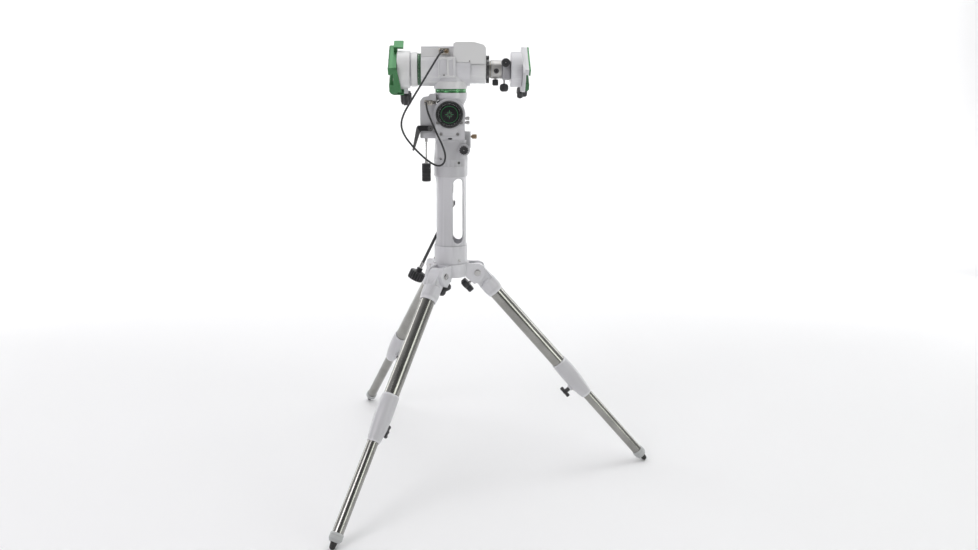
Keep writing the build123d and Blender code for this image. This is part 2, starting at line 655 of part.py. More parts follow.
# ---------------------------------------------------------------- declination unit
DEC_WHEEL_X = 79.0
DEC_WORM_Z = DEC_Z + WORM_OFFSET
DEC_NECK_R = 49.4
with BuildPart() as dec_housing:
    with BuildSketch(Plane.XY.offset(COLLAR_Z)):
        Circle(COLLAR_R)
    extrude(amount=22)
    with BuildSketch(Plane.XY.offset(COLLAR_Z + 22)):
        Circle(DEC_NECK_R)
    extrude(amount=DEC_Z - COLLAR_Z - 22)
    with BuildSketch(Plane.YZ.offset(DEC_X0)):
        with Locations((0, DEC_Z)):
            Circle(DEC_R)
    extrude(amount=DEC_X1 - DEC_X0)
    with BuildSketch(Plane.YZ.offset(DEC_X1)):
        with Locations((0, DEC_Z)):
            Circle(DRUM_R)
    extrude(amount=DEC_X2 - DEC_X1)
    with BuildSketch(Plane.XZ.offset(30)):
        with Locations((-11.5, 1252)):
            RectangleRounded(54, 62, 4)
    extrude(amount=23)
    with BuildSketch(Plane.XZ.offset(53)):
        with Locations((-23, 1251)):
            RectangleRounded(21, 46, 2)
        with Locations((1, 1251)):
            RectangleRounded(12, 46, 2)
    extrude(amount=-1.5, mode=Mode.SUBTRACT)
    with BuildSketch(Plane.XY.offset(COLLAR_Z)):
        Circle(SHAFT_R + RUN)
    extrude(amount=12 + GAP, mode=Mode.SUBTRACT)
    with BuildSketch(Plane.YZ.offset(DEC_X0)):
        with Locations((0, DEC_Z)):
            Circle(SHAFT_R + RUN)
    extrude(amount=DEC_X2 - DEC_X0, mode=Mode.SUBTRACT)
    with BuildSketch(Plane.YZ.offset(DEC_WHEEL_X - 9)):
        with Locations((0, DEC_Z)):
            Circle(WHEEL_R + 2)
    extrude(amount=18, mode=Mode.SUBTRACT)
    with BuildSketch(Plane.XZ.offset(-30)):
        with Locations((DEC_WHEEL_X, DEC_WORM_Z)):
            Circle(WORM_R + 1.5)
    extrude(amount=60, mode=Mode.SUBTRACT)
save(dec_housing, "dec_housing")

TOP_OUTLINE = ((8, 1262), (DEC_X2, 1262), (DEC_X2, 1310), (98, 1319), (68, 1327), (15, 1327), (8, 1322))
with BuildPart() as dec_motor_cover:
    with BuildSketch(Plane.XZ.offset(-34)):
        with BuildLine():
            Polyline((DEC_X0, 1275), (DEC_X0, 1315), (9, 1315), (9, 1275), close=True)
        make_face()
    extrude(amount=68)
    fillet(dec_motor_cover.edges().filter_by(Axis.X).group_by(Axis.Z)[-1], 6)
    with BuildSketch(Plane.XZ.offset(-46)) as top_outline:
        with BuildLine():
            Polyline(*TOP_OUTLINE, close=True)
        make_face()
        fillet(top_outline.vertices().group_by(Axis.Y)[-1] + top_outline.vertices().group_by(Axis.Y)[-2], 3)
    extrude(amount=92)
    with BuildSketch(Plane.XZ.offset(-34 + WALL)):
        with BuildLine():
            Polyline((DEC_X0 + WALL, 1200), (DEC_X0 + WALL, 1309), (12, 1309), (12, 1200), close=True)
        make_face()
    extrude(amount=68 - 2 * WALL, mode=Mode.SUBTRACT)
    with BuildSketch(Plane.XZ.offset(-46 + WALL)):
        with BuildLine():
            Polyline((11, 1200), (DEC_X2 - WALL, 1200), (DEC_X2 - WALL, 1309), (97, 1315), (67, 1323.5),
                     (16, 1323.5), (11, 1320), close=True)
        make_face()
    extrude(amount=92 - 2 * WALL, mode=Mode.SUBTRACT)
    with BuildSketch(Plane.YZ.offset(DEC_X0 - 1)):
        with Locations((0, DEC_Z)):
            Circle(DEC_R + GAP)
    extrude(amount=DEC_X1 - DEC_X0 + 1 + GAP, mode=Mode.SUBTRACT)
    with BuildSketch(Plane.YZ.offset(DEC_X1)):
        with Locations((0, DEC_Z)):
            Circle(DRUM_R + GAP)
    extrude(amount=DEC_X2 - DEC_X1 + 1, mode=Mode.SUBTRACT)
    with BuildSketch(Plane.XZ.offset(30 - GAP)):
        with Locations((-11.5, 1252)):
            RectangleRounded(54 + 2 * GAP, 62 + 2 * GAP, 4)
    extrude(amount=24, mode=Mode.SUBTRACT)
save(dec_motor_cover, "dec_motor_cover")

save(worm(DEC_WHEEL_X, DEC_WORM_Z), "dec_worm")
save(worm_wheel(Plane.YZ.offset(DEC_WHEEL_X - 7) * Location((0, DEC_Z, 0))), "dec_worm_wheel")

DEC_PLUG = (-27.0, -34.0, 1299.0)
with BuildPart() as dec_plug:
    with BuildSketch(Plane.XZ.offset(-DEC_PLUG[1])):
        with Locations((DEC_PLUG[0], DEC_PLUG[2])):
            Circle(8)
    extrude(amount=16)
    with BuildSketch(Plane.XZ.offset(-DEC_PLUG[1] + 16)):
        with Locations((DEC_PLUG[0], DEC_PLUG[2])):
            Circle(5)
    extrude(amount=6)
save(dec_plug, "dec_plug")

LEFT_HUB_X = -100.0
SHAFT_X0 = LEFT_HUB_X - 12
SHAFT_X1 = 122.0
with BuildPart() as dec_shaft:
    with BuildSketch(Plane.YZ.offset(SHAFT_X0)):
        with Locations((0, DEC_Z)):
            Circle(SHAFT_R)
            Circle(SHAFT_R - 6, mode=Mode.SUBTRACT)
    extrude(amount=SHAFT_X1 - SHAFT_X0)
save(dec_shaft, "dec_shaft")

with BuildPart() as dec_setting_circle:
    with BuildSketch(Plane.YZ.offset(LEFT_HUB_X + 0.5)):
        with Locations((0, DEC_Z)):
            Circle(48)
            Circle(SHAFT_R + RUN, mode=Mode.SUBTRACT)
    extrude(amount=DEC_X0 - LEFT_HUB_X - 1)
save(dec_setting_circle, "dec_setting_circle")

# ---------------------------------------------------------------- saddles
PLATE_LONG = 122.0
PLATE_WIDE = 96.0
PLATE_T = 10.0
LEFT_KNOB_OUT = -22.0


def saddle_plane(face_x, outward):
    """Plane on a saddle's face: x along the saddle, y across it and up, z outward."""
    return Plane(origin=(face_x, 0, DEC_Z), x_dir=LONG * outward, z_dir=(outward, 0, 0))


def across_plane(face_x, outward, out, across):
    """Plane that faces down across a saddle, for its clamp knob."""
    frame = saddle_plane(face_x, outward)
    origin = frame.origin + frame.z_dir * out - frame.y_dir * across
    return Plane(origin=origin, x_dir=frame.x_dir, z_dir=frame.y_dir * -1)


def section_plane(frame, start):
    """Plane across a saddle: x across it and up, y outward, z along it."""
    return Plane(origin=frame.origin + frame.x_dir * start, x_dir=frame.y_dir, z_dir=frame.x_dir)


left_frame = saddle_plane(LEFT_FACE_X, -1)
with BuildPart() as left_saddle:
    with BuildSketch(Plane.XZ):
        with BuildLine():
            Polyline((LEFT_HUB_X, DEC_Z), (LEFT_HUB_X, DEC_Z + 52), (-118, DEC_Z + 52), (-118, DEC_Z + 49.5),
                     (-122, DEC_Z + 49.5), (-122, DEC_Z + 55), (-124, DEC_Z + 56.5), (-159, DEC_Z + 56.5),
                     (LEFT_FACE_X, DEC_Z + 54.5), (LEFT_FACE_X, DEC_Z), close=True)
        make_face()
    revolve(axis=Axis((0, 0, DEC_Z), (1, 0, 0)))
    with BuildSketch(left_frame.offset(-30)):
        with Locations((0, -64)):
            RectangleRounded(34, 36, 4)
    extrude(amount=30)
    with BuildSketch(Plane.YZ.offset(SHAFT_X0 - 1)):
        with Locations((0, DEC_Z)):
            Circle(SHAFT_R + RUN)
    extrude(amount=LEFT_HUB_X - SHAFT_X0 + 1, mode=Mode.SUBTRACT)
    with BuildSketch(across_plane(LEFT_FACE_X, -1, LEFT_KNOB_OUT, 58)):
        Circle(4 + RUN)
    extrude(amount=30, mode=Mode.SUBTRACT)
save(left_saddle, "left_saddle")

FIXED_JAW = ((25, PLATE_T), (21.5, 22), (24, 25), (45, 25), (48, 21), (48, PLATE_T))
MOVING_JAW = ((-25, PLATE_T + GAP), (-21.5, 22), (-24, 25), (-50, 25), (-58, 20), (-62, 12), (-62, -19),
              (-58.5, -19), (-58.5, PLATE_T + GAP))
with BuildPart() as left_saddle_plate:
    with BuildSketch(left_frame):
        RectangleRounded(PLATE_LONG, PLATE_WIDE, 8)
        with Locations((-42, 52)):
            RectangleRounded(36, 24, 3)
    extrude(amount=PLATE_T)
    with BuildSketch(left_frame.offset(-19)):
        with Locations((-42, 60.5)):
            Rectangle(34, 6)
    extrude(amount=22)
    with BuildSketch(section_plane(left_frame, -PLATE_LONG / 2 + 5)):
        with BuildLine():
            Polyline(*FIXED_JAW, close=True)
        make_face()
    extrude(amount=PLATE_LONG - 10)
    with BuildSketch(section_plane(left_frame, PLATE_LONG / 2 - 4)):
        with BuildLine():
            Polyline((40, 0.5), (40, -2.5), (-40, -13.5), (-40, 0.5), close=True)
        make_face()
    extrude(amount=4)
save(left_saddle_plate, "left_saddle_plate")

with BuildPart() as left_saddle_jaw:
    with BuildSketch(section_plane(left_frame, -46)):
        with BuildLine():
            Polyline(*MOVING_JAW, close=True)
        make_face()
    extrude(amount=92)
    with BuildSketch(left_frame.offset(-20)):
        with Locations((0, -64)):
            Rectangle(44, 36)
    extrude(amount=20, mode=Mode.SUBTRACT)
save(left_saddle_jaw, "left_saddle_jaw")

left_knob_plane = across_plane(LEFT_FACE_X, -1, LEFT_KNOB_OUT, 90)
left_saddle_knob = lobed_knob(left_knob_plane, 17.5, 40, 10, 4, 30)
save(left_saddle_knob, "left_saddle_knob")

right_frame = saddle_plane(RIGHT_FACE_X, 1)
RIGHT_BASE_X = 181.0
RIGHT_LONG = 124.0
RIGHT_WIDE = 84.0
RIGHT_LEDGE = 3.5
RIGHT_JAW = ((-23, RIGHT_LEDGE + GAP), (-23, PLATE_T + GAP), (-19.5, 20), (-22, 23), (-44, 23), (-48, 19),
             (-48, RIGHT_LEDGE + GAP))
with BuildPart() as right_saddle:
    with BuildSketch(Plane.YZ.offset(RIGHT_BASE_X)):
        with Locations((0, DEC_Z)):
            Circle(53.5)
    extrude(amount=RIGHT_FACE_X - RIGHT_BASE_X)
    chamfer(right_saddle.edges().filter_by(GeomType.CIRCLE), 2)
    with BuildSketch(right_frame):
        RectangleRounded(RIGHT_LONG, RIGHT_WIDE, 8)
        with Locations((0, -58)):
            RectangleRounded(30, 36, 4)
    extrude(amount=PLATE_T)
    with BuildSketch(section_plane(right_frame, -RIGHT_LONG / 2 + 6)):
        with BuildLine():
            Polyline((23, PLATE_T), (19.5, 20), (22, 23), (38, 23), (41, 19), (41, PLATE_T), close=True)
        make_face()
    extrude(amount=RIGHT_LONG - 12)
    with BuildSketch(right_frame.offset(RIGHT_LEDGE)):
        with Locations((0, -38.6)):
            Rectangle(89, 32)
    extrude(amount=PLATE_T, mode=Mode.SUBTRACT)
    with BuildSketch(across_plane(RIGHT_FACE_X, 1, PLATE_T / 2, 56)):
        Circle(3 + RUN)
    extrude(amount=30, mode=Mode.SUBTRACT)
save(right_saddle, "right_saddle")

with BuildPart() as right_saddle_jaw:
    with BuildSketch(section_plane(right_frame, -44)):
        with BuildLine():
            Polyline(*RIGHT_JAW, close=True)
        make_face()
    extrude(amount=88)
save(right_saddle_jaw, "right_saddle_jaw")

right_knob_plane = across_plane(RIGHT_FACE_X, 1, PLATE_T / 2, 79)
right_saddle_knob = lobed_knob(right_knob_plane, 18.5, 22, 3, 3, 21)
save(right_saddle_knob, "right_saddle_knob")

# ---------------------------------------------------------------- adapter on the declination axis
FLANGE_X = 107.0
ADAPTER_X = 116.5
NECK_X = 154.5
ADAPTER_R = 27.8
with BuildPart() as adapter_flange:
    with BuildSketch(Plane.YZ.offset(FLANGE_X)):
        with Locations((0, DEC_Z)):
            Circle(31)
            with PolarLocations(34.5, 6, start_angle=30):
                Circle(7)
            Circle(SHAFT_R + RUN, mode=Mode.SUBTRACT)
    extrude(amount=ADAPTER_X - FLANGE_X - GAP)
save(adapter_flange, "adapter_flange")

LOWER_KNOB_X = 135.5
STEM_KNOB_X = 162.0
FRONT_KNOB_X = 164.5
FRONT_KNOB_Z = 1266.0
with BuildPart() as adapter_body:
    with BuildSketch(Plane.YZ.offset(ADAPTER_X)):
        with Locations((0, DEC_Z)):
            Circle(ADAPTER_R)
    extrude(amount=NECK_X - ADAPTER_X)
    with BuildSketch(Plane.YZ.offset(NECK_X)):
        with Locations((0, DEC_Z - 2)):
            RectangleRounded(50, 60, 9)
    extrude(amount=RIGHT_BASE_X - NECK_X - GAP)
    with BuildSketch(Plane.YZ.offset(ADAPTER_X)):
        with Locations((0, DEC_Z)):
            Circle(SHAFT_R + RUN)
    extrude(amount=9, mode=Mode.SUBTRACT)
    with BuildSketch(Plane.XY.offset(DEC_Z - 40)):
        with Locations((LOWER_KNOB_X, 0)):
            Circle(3 + RUN)
        with Locations((STEM_KNOB_X, 0)):
            Circle(2.7 + RUN)
    extrude(amount=22, mode=Mode.SUBTRACT)
    with BuildSketch(Plane.XZ.offset(8)):
        with Locations((FRONT_KNOB_X, FRONT_KNOB_Z)):
            Circle(3 + RUN)
    extrude(amount=30, mode=Mode.SUBTRACT)
save(adapter_body, "adapter_body")

lower_plane = Plane(origin=(LOWER_KNOB_X, 0, DEC_Z - ADAPTER_R - 2), x_dir=(1, 0, 0), z_dir=(0, 0, -1))
save(round_knob(lower_plane, 9, 19, 1.9, 3, 10), "adapter_lower_knob")
stem_plane = Plane(origin=(STEM_KNOB_X, 0, DEC_Z - 43), x_dir=(1, 0, 0), z_dir=(0, 0, -1))
save(round_knob(stem_plane, 13, 24, 6, 2.7, 18), "adapter_stem_knob")
front_plane = Plane(origin=(FRONT_KNOB_X, -28, FRONT_KNOB_Z), x_dir=(1, 0, 0), z_dir=(0, -1, 0))
save(round_knob(front_plane, 13.5, 17, 1.7, 3, 18), "adapter_front_knob")

# ---------------------------------------------------------------- motor cable
CABLE_ROUTE = (
    (-27, -56, 1299),
    (-27, -68, 1299),
    (-31, -79, 1293),
    (-38, -87, 1282),
    (-47, -91, 1267),
    (-65, -93, 1238),
    (-92, -94, 1193),
    (-121, -94, 1147),
    (-140, -93, 1114),
    (-148, -92, 1083),
    (-138, -93, 1053),
    (-118, -94, 1026),
    (-94, -95, 1000),
    (-66, -95, 975),
    (-38, -94, 959.5),
    (-20, -93, 968),
    (-15, -93, 991),
    (-23, -92, 1019),
    (-37, -91, 1048),
    (-50, -91, 1077),
    (-61, -90, 1103),
    (-68, -88, 1121),
    (-72, -83, 1138),
    (-73, -74, 1147),
    (-73, -62, 1147),
)


def corner_radii(points):
    """Largest arc that each corner's two runs allow."""
    radii = []
    for before, here, after in zip(points, points[1:], points[2:]):
        turn = (here - before).get_angle(after - here)
        shorter = min((here - before).length, (after - here).length)
        radii.append(0.45 * shorter / tan(radians(turn) / 2))
    return radii


route = [Vector(*point) for point in CABLE_ROUTE]
radii = corner_radii(route)
with BuildPart() as motor_cable:
    with BuildLine() as cable_path:
        FilletPolyline(*route, radius=radii)
    with BuildSketch(Plane(origin=route[0], z_dir=(route[1] - route[0]).normalized())):
        Circle(CABLE_R)
    sweep()
print("cable arc radii", [round(r, 1) for r in radii])
cable_length = sum(edge.length for edge in cable_path.line.edges())
print("cable length", round(cable_length, 1))
print("cable volume share", motor_cable.part.volume / (pi * CABLE_R**2 * cable_length))
save(motor_cable, "motor_cable")
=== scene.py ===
import json
from math import cos, pi, radians, sin

import bmesh
import bpy
from mathutils import Matrix, Vector


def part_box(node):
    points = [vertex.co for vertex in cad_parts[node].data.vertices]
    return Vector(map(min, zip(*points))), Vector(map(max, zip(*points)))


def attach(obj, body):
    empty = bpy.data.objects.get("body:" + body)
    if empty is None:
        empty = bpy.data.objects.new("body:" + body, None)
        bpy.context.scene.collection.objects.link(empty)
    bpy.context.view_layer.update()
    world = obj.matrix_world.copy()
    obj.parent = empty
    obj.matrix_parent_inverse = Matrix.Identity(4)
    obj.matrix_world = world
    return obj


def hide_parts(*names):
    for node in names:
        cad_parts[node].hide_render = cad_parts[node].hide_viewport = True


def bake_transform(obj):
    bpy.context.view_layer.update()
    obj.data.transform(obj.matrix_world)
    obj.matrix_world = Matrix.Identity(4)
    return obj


# Telescope mount on a pillar tripod. Metres, +Z up, ground at z = 0, pillar axis on Z.
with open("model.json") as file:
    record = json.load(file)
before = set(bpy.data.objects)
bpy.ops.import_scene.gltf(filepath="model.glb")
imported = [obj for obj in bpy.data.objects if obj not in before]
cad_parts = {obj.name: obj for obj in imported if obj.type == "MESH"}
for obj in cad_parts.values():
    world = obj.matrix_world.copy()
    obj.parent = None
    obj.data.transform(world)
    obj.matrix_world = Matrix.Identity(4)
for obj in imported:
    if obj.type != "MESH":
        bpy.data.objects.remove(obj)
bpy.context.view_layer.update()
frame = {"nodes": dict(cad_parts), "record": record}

# ---------------------------------------------------------------- places on the mount, in millimetres
MM = 0.001
DEC_Z = 1246
DEC_SOCKET_Z = 1299
RA_SOCKET_Z = 1147
RA_COVER_Y = -44
LAT_X = -4
LAT_Z = 1112.5
CHEEK_Y = 62
LEFT_FACE_X = -161
RIGHT_FACE_X = 214
SADDLE_TILT = radians(38)

# ---------------------------------------------------------------- camera and cord
CAMERA_PLACE = (0.0, -2.7096, 1.2288)
CAMERA_TILT = 90 - 7.71
CAMERA_TURN = -0.53
LENS_MM = 32.59
SHIFT = (0.0307, -0.0818)

camera_data = bpy.data.cameras.new("camera")
camera_data.lens = LENS_MM
camera_data.sensor_width = 36
camera_data.shift_x, camera_data.shift_y = SHIFT
camera = bpy.data.objects.new("camera", camera_data)
camera.location = CAMERA_PLACE
camera.rotation_euler = (radians(CAMERA_TILT), 0, radians(CAMERA_TURN))
bpy.context.scene.collection.objects.link(camera)
bpy.context.scene.camera = camera

CABLE_D = 0.0058
CABLE_ROUTE = (
    (-0.0270, -0.0560, 1.2990),
    (-0.0270, -0.0680, 1.2990),
    (-0.0310, -0.0790, 1.2930),
    (-0.0380, -0.0870, 1.2820),
    (-0.0470, -0.0910, 1.2670),
    (-0.0650, -0.0930, 1.2380),
    (-0.0920, -0.0940, 1.1930),
    (-0.1210, -0.0940, 1.1470),
    (-0.1400, -0.0930, 1.1140),
    (-0.1480, -0.0920, 1.0830),
    (-0.1380, -0.0930, 1.0530),
    (-0.1180, -0.0940, 1.0260),
    (-0.0940, -0.0950, 1.0000),
    (-0.0660, -0.0950, 0.9750),
    (-0.0380, -0.0940, 0.9595),
    (-0.0200, -0.0930, 0.9680),
    (-0.0150, -0.0930, 0.9910),
    (-0.0230, -0.0920, 1.0190),
    (-0.0370, -0.0910, 1.0480),
    (-0.0500, -0.0910, 1.0770),
    (-0.0610, -0.0900, 1.1030),
    (-0.0680, -0.0880, 1.1210),
    (-0.0720, -0.0830, 1.1380),
    (-0.0730, -0.0740, 1.1470),
    (-0.0730, -0.0620, 1.1470),
)


def centreline(name, route):
    """Points along the route's smooth NURBS line."""
    curve = bpy.data.curves.new(name, "CURVE")
    curve.dimensions = "3D"
    curve.resolution_u = 12
    spline = curve.splines.new("NURBS")
    spline.points.add(len(route) - 1)
    for point, place in zip(spline.points, route):
        point.co = (*place, 1)
    spline.order_u = 3
    spline.use_endpoint_u = True
    holder = bpy.data.objects.new(name, curve)
    bpy.context.scene.collection.objects.link(holder)
    mesh = bpy.data.meshes.new_from_object(holder)
    points = [vertex.co.copy() for vertex in mesh.vertices]
    bpy.data.objects.remove(holder)
    bpy.data.curves.remove(curve)
    bpy.data.meshes.remove(mesh)
    return points


# ---------------------------------------------------------------- shape helpers
def mm(*values):
    """Point given in millimetres."""
    return Vector(values) * MM


def stand(origin_mm, z_axis, x_hint=(1, 0, 0)):
    """Matrix of a frame in millimetres that stands at origin, with z along z_axis and x near x_hint."""
    z = Vector(z_axis).normalized()
    x = Vector(x_hint)
    x = x - z * x.dot(z)
    if x.length < 1e-6:
        x = z.orthogonal()
    x.normalize()
    y = z.cross(x)
    turn = Matrix((x, y, z)).transposed().to_4x4()
    return Matrix.Translation(mm(*origin_mm)) @ turn @ Matrix.Scale(MM, 4)


def round_wave(angle):
    """No wave."""
    return 0.0


def scallops(count, sharp=1.0):
    """Wave from 0 on a lobe to 1 in the hollow between two."""
    return lambda angle: (0.5 - 0.5 * cos(count * angle)) ** sharp


def hexagon(angle):
    """Share by which a hexagon's flat lies inside its corner circle."""
    part = (angle % (pi / 3)) - pi / 6
    return 1 - cos(pi / 6) / cos(part)


def turned(mesh, matrix, profile, wave=round_wave, steps=48):
    """Revolves (radius, height[, wave depth]) points round z, in millimetres; radius 0 closes an end."""
    rings = []
    for radius, height, *depth in profile:
        if radius == 0:
            rings.append([mesh.verts.new(matrix @ Vector((0, 0, height)))])
            continue
        ring = []
        for step in range(steps):
            angle = 2 * pi * step / steps
            r = radius - (depth[0] * wave(angle) if depth else 0)
            ring.append(mesh.verts.new(matrix @ Vector((r * cos(angle), r * sin(angle), height))))
        rings.append(ring)
    for lower, upper in zip(rings, rings[1:]):
        for i in range(max(len(lower), len(upper))):
            j = (i + 1) % max(len(lower), len(upper))
            if len(lower) == 1:
                mesh.faces.new((lower[0], upper[j], upper[i]))
            elif len(upper) == 1:
                mesh.faces.new((lower[i], lower[j], upper[0]))
            else:
                mesh.faces.new((lower[i], lower[j], upper[j], upper[i]))


def block(mesh, matrix, size, bevel=0.4, segments=2):
    """Box with broken edges, centred on the matrix, in millimetres."""
    made = bmesh.ops.create_cube(mesh, size=1, matrix=matrix @ Matrix.Diagonal((*size, 1)))
    edges = dict.fromkeys(edge for vertex in made["verts"] for edge in vertex.link_edges)
    if bevel:
        bmesh.ops.bevel(mesh, geom=list(edges), offset=bevel * MM, segments=segments, affect="EDGES",
                        profile=0.5)


def cap_screw(mesh, origin, axis, radius, height):
    """Socket head screw that stands on origin."""
    matrix = stand(origin, axis)
    turned(mesh, matrix, [
        (0, 0), (radius, 0), (radius, height - 0.5), (radius - 0.5, height), (radius * 0.58, height),
        (radius * 0.56, height * 0.4), (0, height * 0.4)], steps=36)
    turned(mesh, matrix, [
        (radius * 0.60, height - 0.05), (radius * 0.60, height - 0.05, radius * 0.60),
        (radius * 0.58, height * 0.45, radius * 0.58)], wave=hexagon, steps=36)


def tube(mesh, points, radius, sides=14):
    """Tube of that radius, in metres, along the points, closed at both ends."""
    across = (points[1] - points[0]).orthogonal().normalized()
    rings = []
    for index, point in enumerate(points):
        before = points[max(index - 1, 0)]
        after = points[min(index + 1, len(points) - 1)]
        along = (after - before).normalized()
        across = (across - along * across.dot(along)).normalized()
        other = along.cross(across)
        ring = []
        for side in range(sides):
            angle = 2 * pi * side / sides
            ring.append(mesh.verts.new(point + (across * cos(angle) + other * sin(angle)) * radius))
        rings.append(ring)
    for lower, upper in zip(rings, rings[1:]):
        for i in range(sides):
            j = (i + 1) % sides
            mesh.faces.new((lower[i], lower[j], upper[j], upper[i]))
    mesh.faces.new(rings[0][::-1])
    mesh.faces.new(rings[-1])


def piece(name, mesh, body, material, replaces=(), angle=32, ride=True):
    """Object made of the mesh, with its material, that rides on the body."""
    bmesh.ops.remove_doubles(mesh, verts=mesh.verts, dist=1e-7)
    bmesh.ops.recalc_face_normals(mesh, faces=mesh.faces)
    data = bpy.data.meshes.new(name)
    mesh.to_mesh(data)
    mesh.free()
    data.shade_smooth()
    data.set_sharp_from_angle(angle=radians(angle))
    data.materials.append(material)
    made = bpy.data.objects.new(name, data)
    bpy.context.scene.collection.objects.link(made)
    if replaces:
        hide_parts(*replaces)
    if ride:
        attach(made, body)
    return made


# ---------------------------------------------------------------- materials
def nodes_of(name):
    """New material with its node tree, shader and object coordinates."""
    made = bpy.data.materials.new(name)
    made.use_nodes = True
    tree = made.node_tree
    shader = tree.nodes["Principled BSDF"]
    coords = tree.nodes.new("ShaderNodeTexCoord")
    return made, tree, shader, coords.outputs["Object"]


def noise(tree, vector, scale, detail=4.0, rough=0.55):
    """Noise texture's value."""
    node = tree.nodes.new("ShaderNodeTexNoise")
    node.inputs["Scale"].default_value = scale
    node.inputs["Detail"].default_value = detail
    node.inputs["Roughness"].default_value = rough
    tree.links.new(vector, node.inputs["Vector"])
    return node.outputs["Fac"]


def ramp(tree, value, low, high, start=0.0, end=1.0):
    """Value mapped from start..end to low..high."""
    node = tree.nodes.new("ShaderNodeMapRange")
    node.inputs["From Min"].default_value = start
    node.inputs["From Max"].default_value = end
    node.inputs["To Min"].default_value = low
    node.inputs["To Max"].default_value = high
    tree.links.new(value, node.inputs["Value"])
    return node.outputs["Result"]


def mixed(tree, factor, first, second):
    """Colour mixed from first to second by factor; each is a colour or an output."""
    node = tree.nodes.new("ShaderNodeMix")
    node.data_type = "RGBA"
    for socket, value in zip((node.inputs[6], node.inputs[7]), (first, second)):
        if isinstance(value, tuple):
            socket.default_value = (*value, 1)
        else:
            tree.links.new(value, socket)
    tree.links.new(factor, node.inputs["Factor"])
    return node.outputs[2]


def bumped(tree, shader, height, strength, distance, edge=0.0):
    """Bump from a height, on edges rounded by the edge radius."""
    bump = tree.nodes.new("ShaderNodeBump")
    bump.inputs["Strength"].default_value = strength
    bump.inputs["Distance"].default_value = distance
    tree.links.new(height, bump.inputs["Height"])
    if edge:
        bevel = tree.nodes.new("ShaderNodeBevel")
        bevel.samples = 4
        bevel.inputs["Radius"].default_value = edge
        tree.links.new(bevel.outputs["Normal"], bump.inputs["Normal"])
    tree.links.new(bump.outputs["Normal"], shader.inputs["Normal"])


def edge_highlight_mask(tree):
    """Mask that is 1 on convex edges, where the edge colour is painted as a highlight."""
    geometry = tree.nodes.new("ShaderNodeNewGeometry")
    return ramp(tree, geometry.outputs["Pointiness"], 0, 1, 0.515, 0.56)


def coated(name, colour, other, rough, metallic=0.0, grain=900.0, bump=0.12, depth=0.00012, coat=0.0,
           edge=0.0008, edge_highlight_colour=None, specular=0.5):
    """Painted, moulded or anodised surface: soft colour patches, fine grain, rounded edges and, on convex
    edges, a painted highlight in the edge colour.
    """
    made, tree, shader, place = nodes_of(name)
    patches = noise(tree, place, 9.0, 6)
    fine = noise(tree, place, grain, 3)
    colour_out = mixed(tree, ramp(tree, patches, 0, 1, 0.3, 0.7), colour, other)
    # Convex edges take the edge colour, mostly lighter than the surface: a painted highlight.
    if edge_highlight_colour:
        colour_out = mixed(tree, edge_highlight_mask(tree), colour_out, edge_highlight_colour)
    tree.links.new(colour_out, shader.inputs["Base Color"])
    smudge = noise(tree, place, 35.0, 5, 0.7)
    tree.links.new(ramp(tree, smudge, rough * 0.82, rough * 1.2, 0.3, 0.7), shader.inputs["Roughness"])
    shader.inputs["Metallic"].default_value = metallic
    shader.inputs["Specular IOR Level"].default_value = specular
    shader.inputs["Coat Weight"].default_value = coat
    shader.inputs["Coat Roughness"].default_value = 0.12
    bumped(tree, shader, fine, bump, depth, edge)
    return made


def brushed(name, colour, axis, rough, dark=0.75):
    """Drawn or turned metal whose fine lines run along the axis."""
    made, tree, shader, place = nodes_of(name)
    turn = Vector(axis).rotation_difference(Vector((0, 0, 1))).to_euler()
    turned_place = tree.nodes.new("ShaderNodeMapping")
    turned_place.inputs["Rotation"].default_value = turn
    tree.links.new(place, turned_place.inputs["Vector"])
    stretch = tree.nodes.new("ShaderNodeMapping")
    stretch.inputs["Scale"].default_value = (1, 1, 0.012)
    tree.links.new(turned_place.outputs["Vector"], stretch.inputs["Vector"])
    lines = noise(tree, stretch.outputs["Vector"], 2600.0, 3)
    cloud = noise(tree, place, 14.0, 5)
    shade = tuple(c * dark for c in colour)
    patches = ramp(tree, cloud, 0, 1, 0.35, 0.65)
    tree.links.new(mixed(tree, patches, colour, shade), shader.inputs["Base Color"])
    tree.links.new(ramp(tree, lines, rough * 0.7, rough * 1.5, 0.3, 0.7), shader.inputs["Roughness"])
    shader.inputs["Metallic"].default_value = 1
    bumped(tree, shader, lines, 0.06, 0.0001, 0.0004)
    return made


def white_paint(name, level, grain=1300, rough=0.36):
    """Off-white coating whose brightness is a share of the lightest one; the share given to each part is
    painted light and shade.
    """
    light = tuple(level * share for share in (0.96, 0.955, 0.99))
    shade = tuple(0.93 * value for value in light)
    # The rim, lighter than the paint, is the painted edge highlight.
    rim = tuple(min(1.2 * value, 0.75) for value in light)
    return coated(name, light, shade, rough, coat=0.25, grain=grain, bump=0.12, edge=0.0013, edge_highlight_colour=rim)


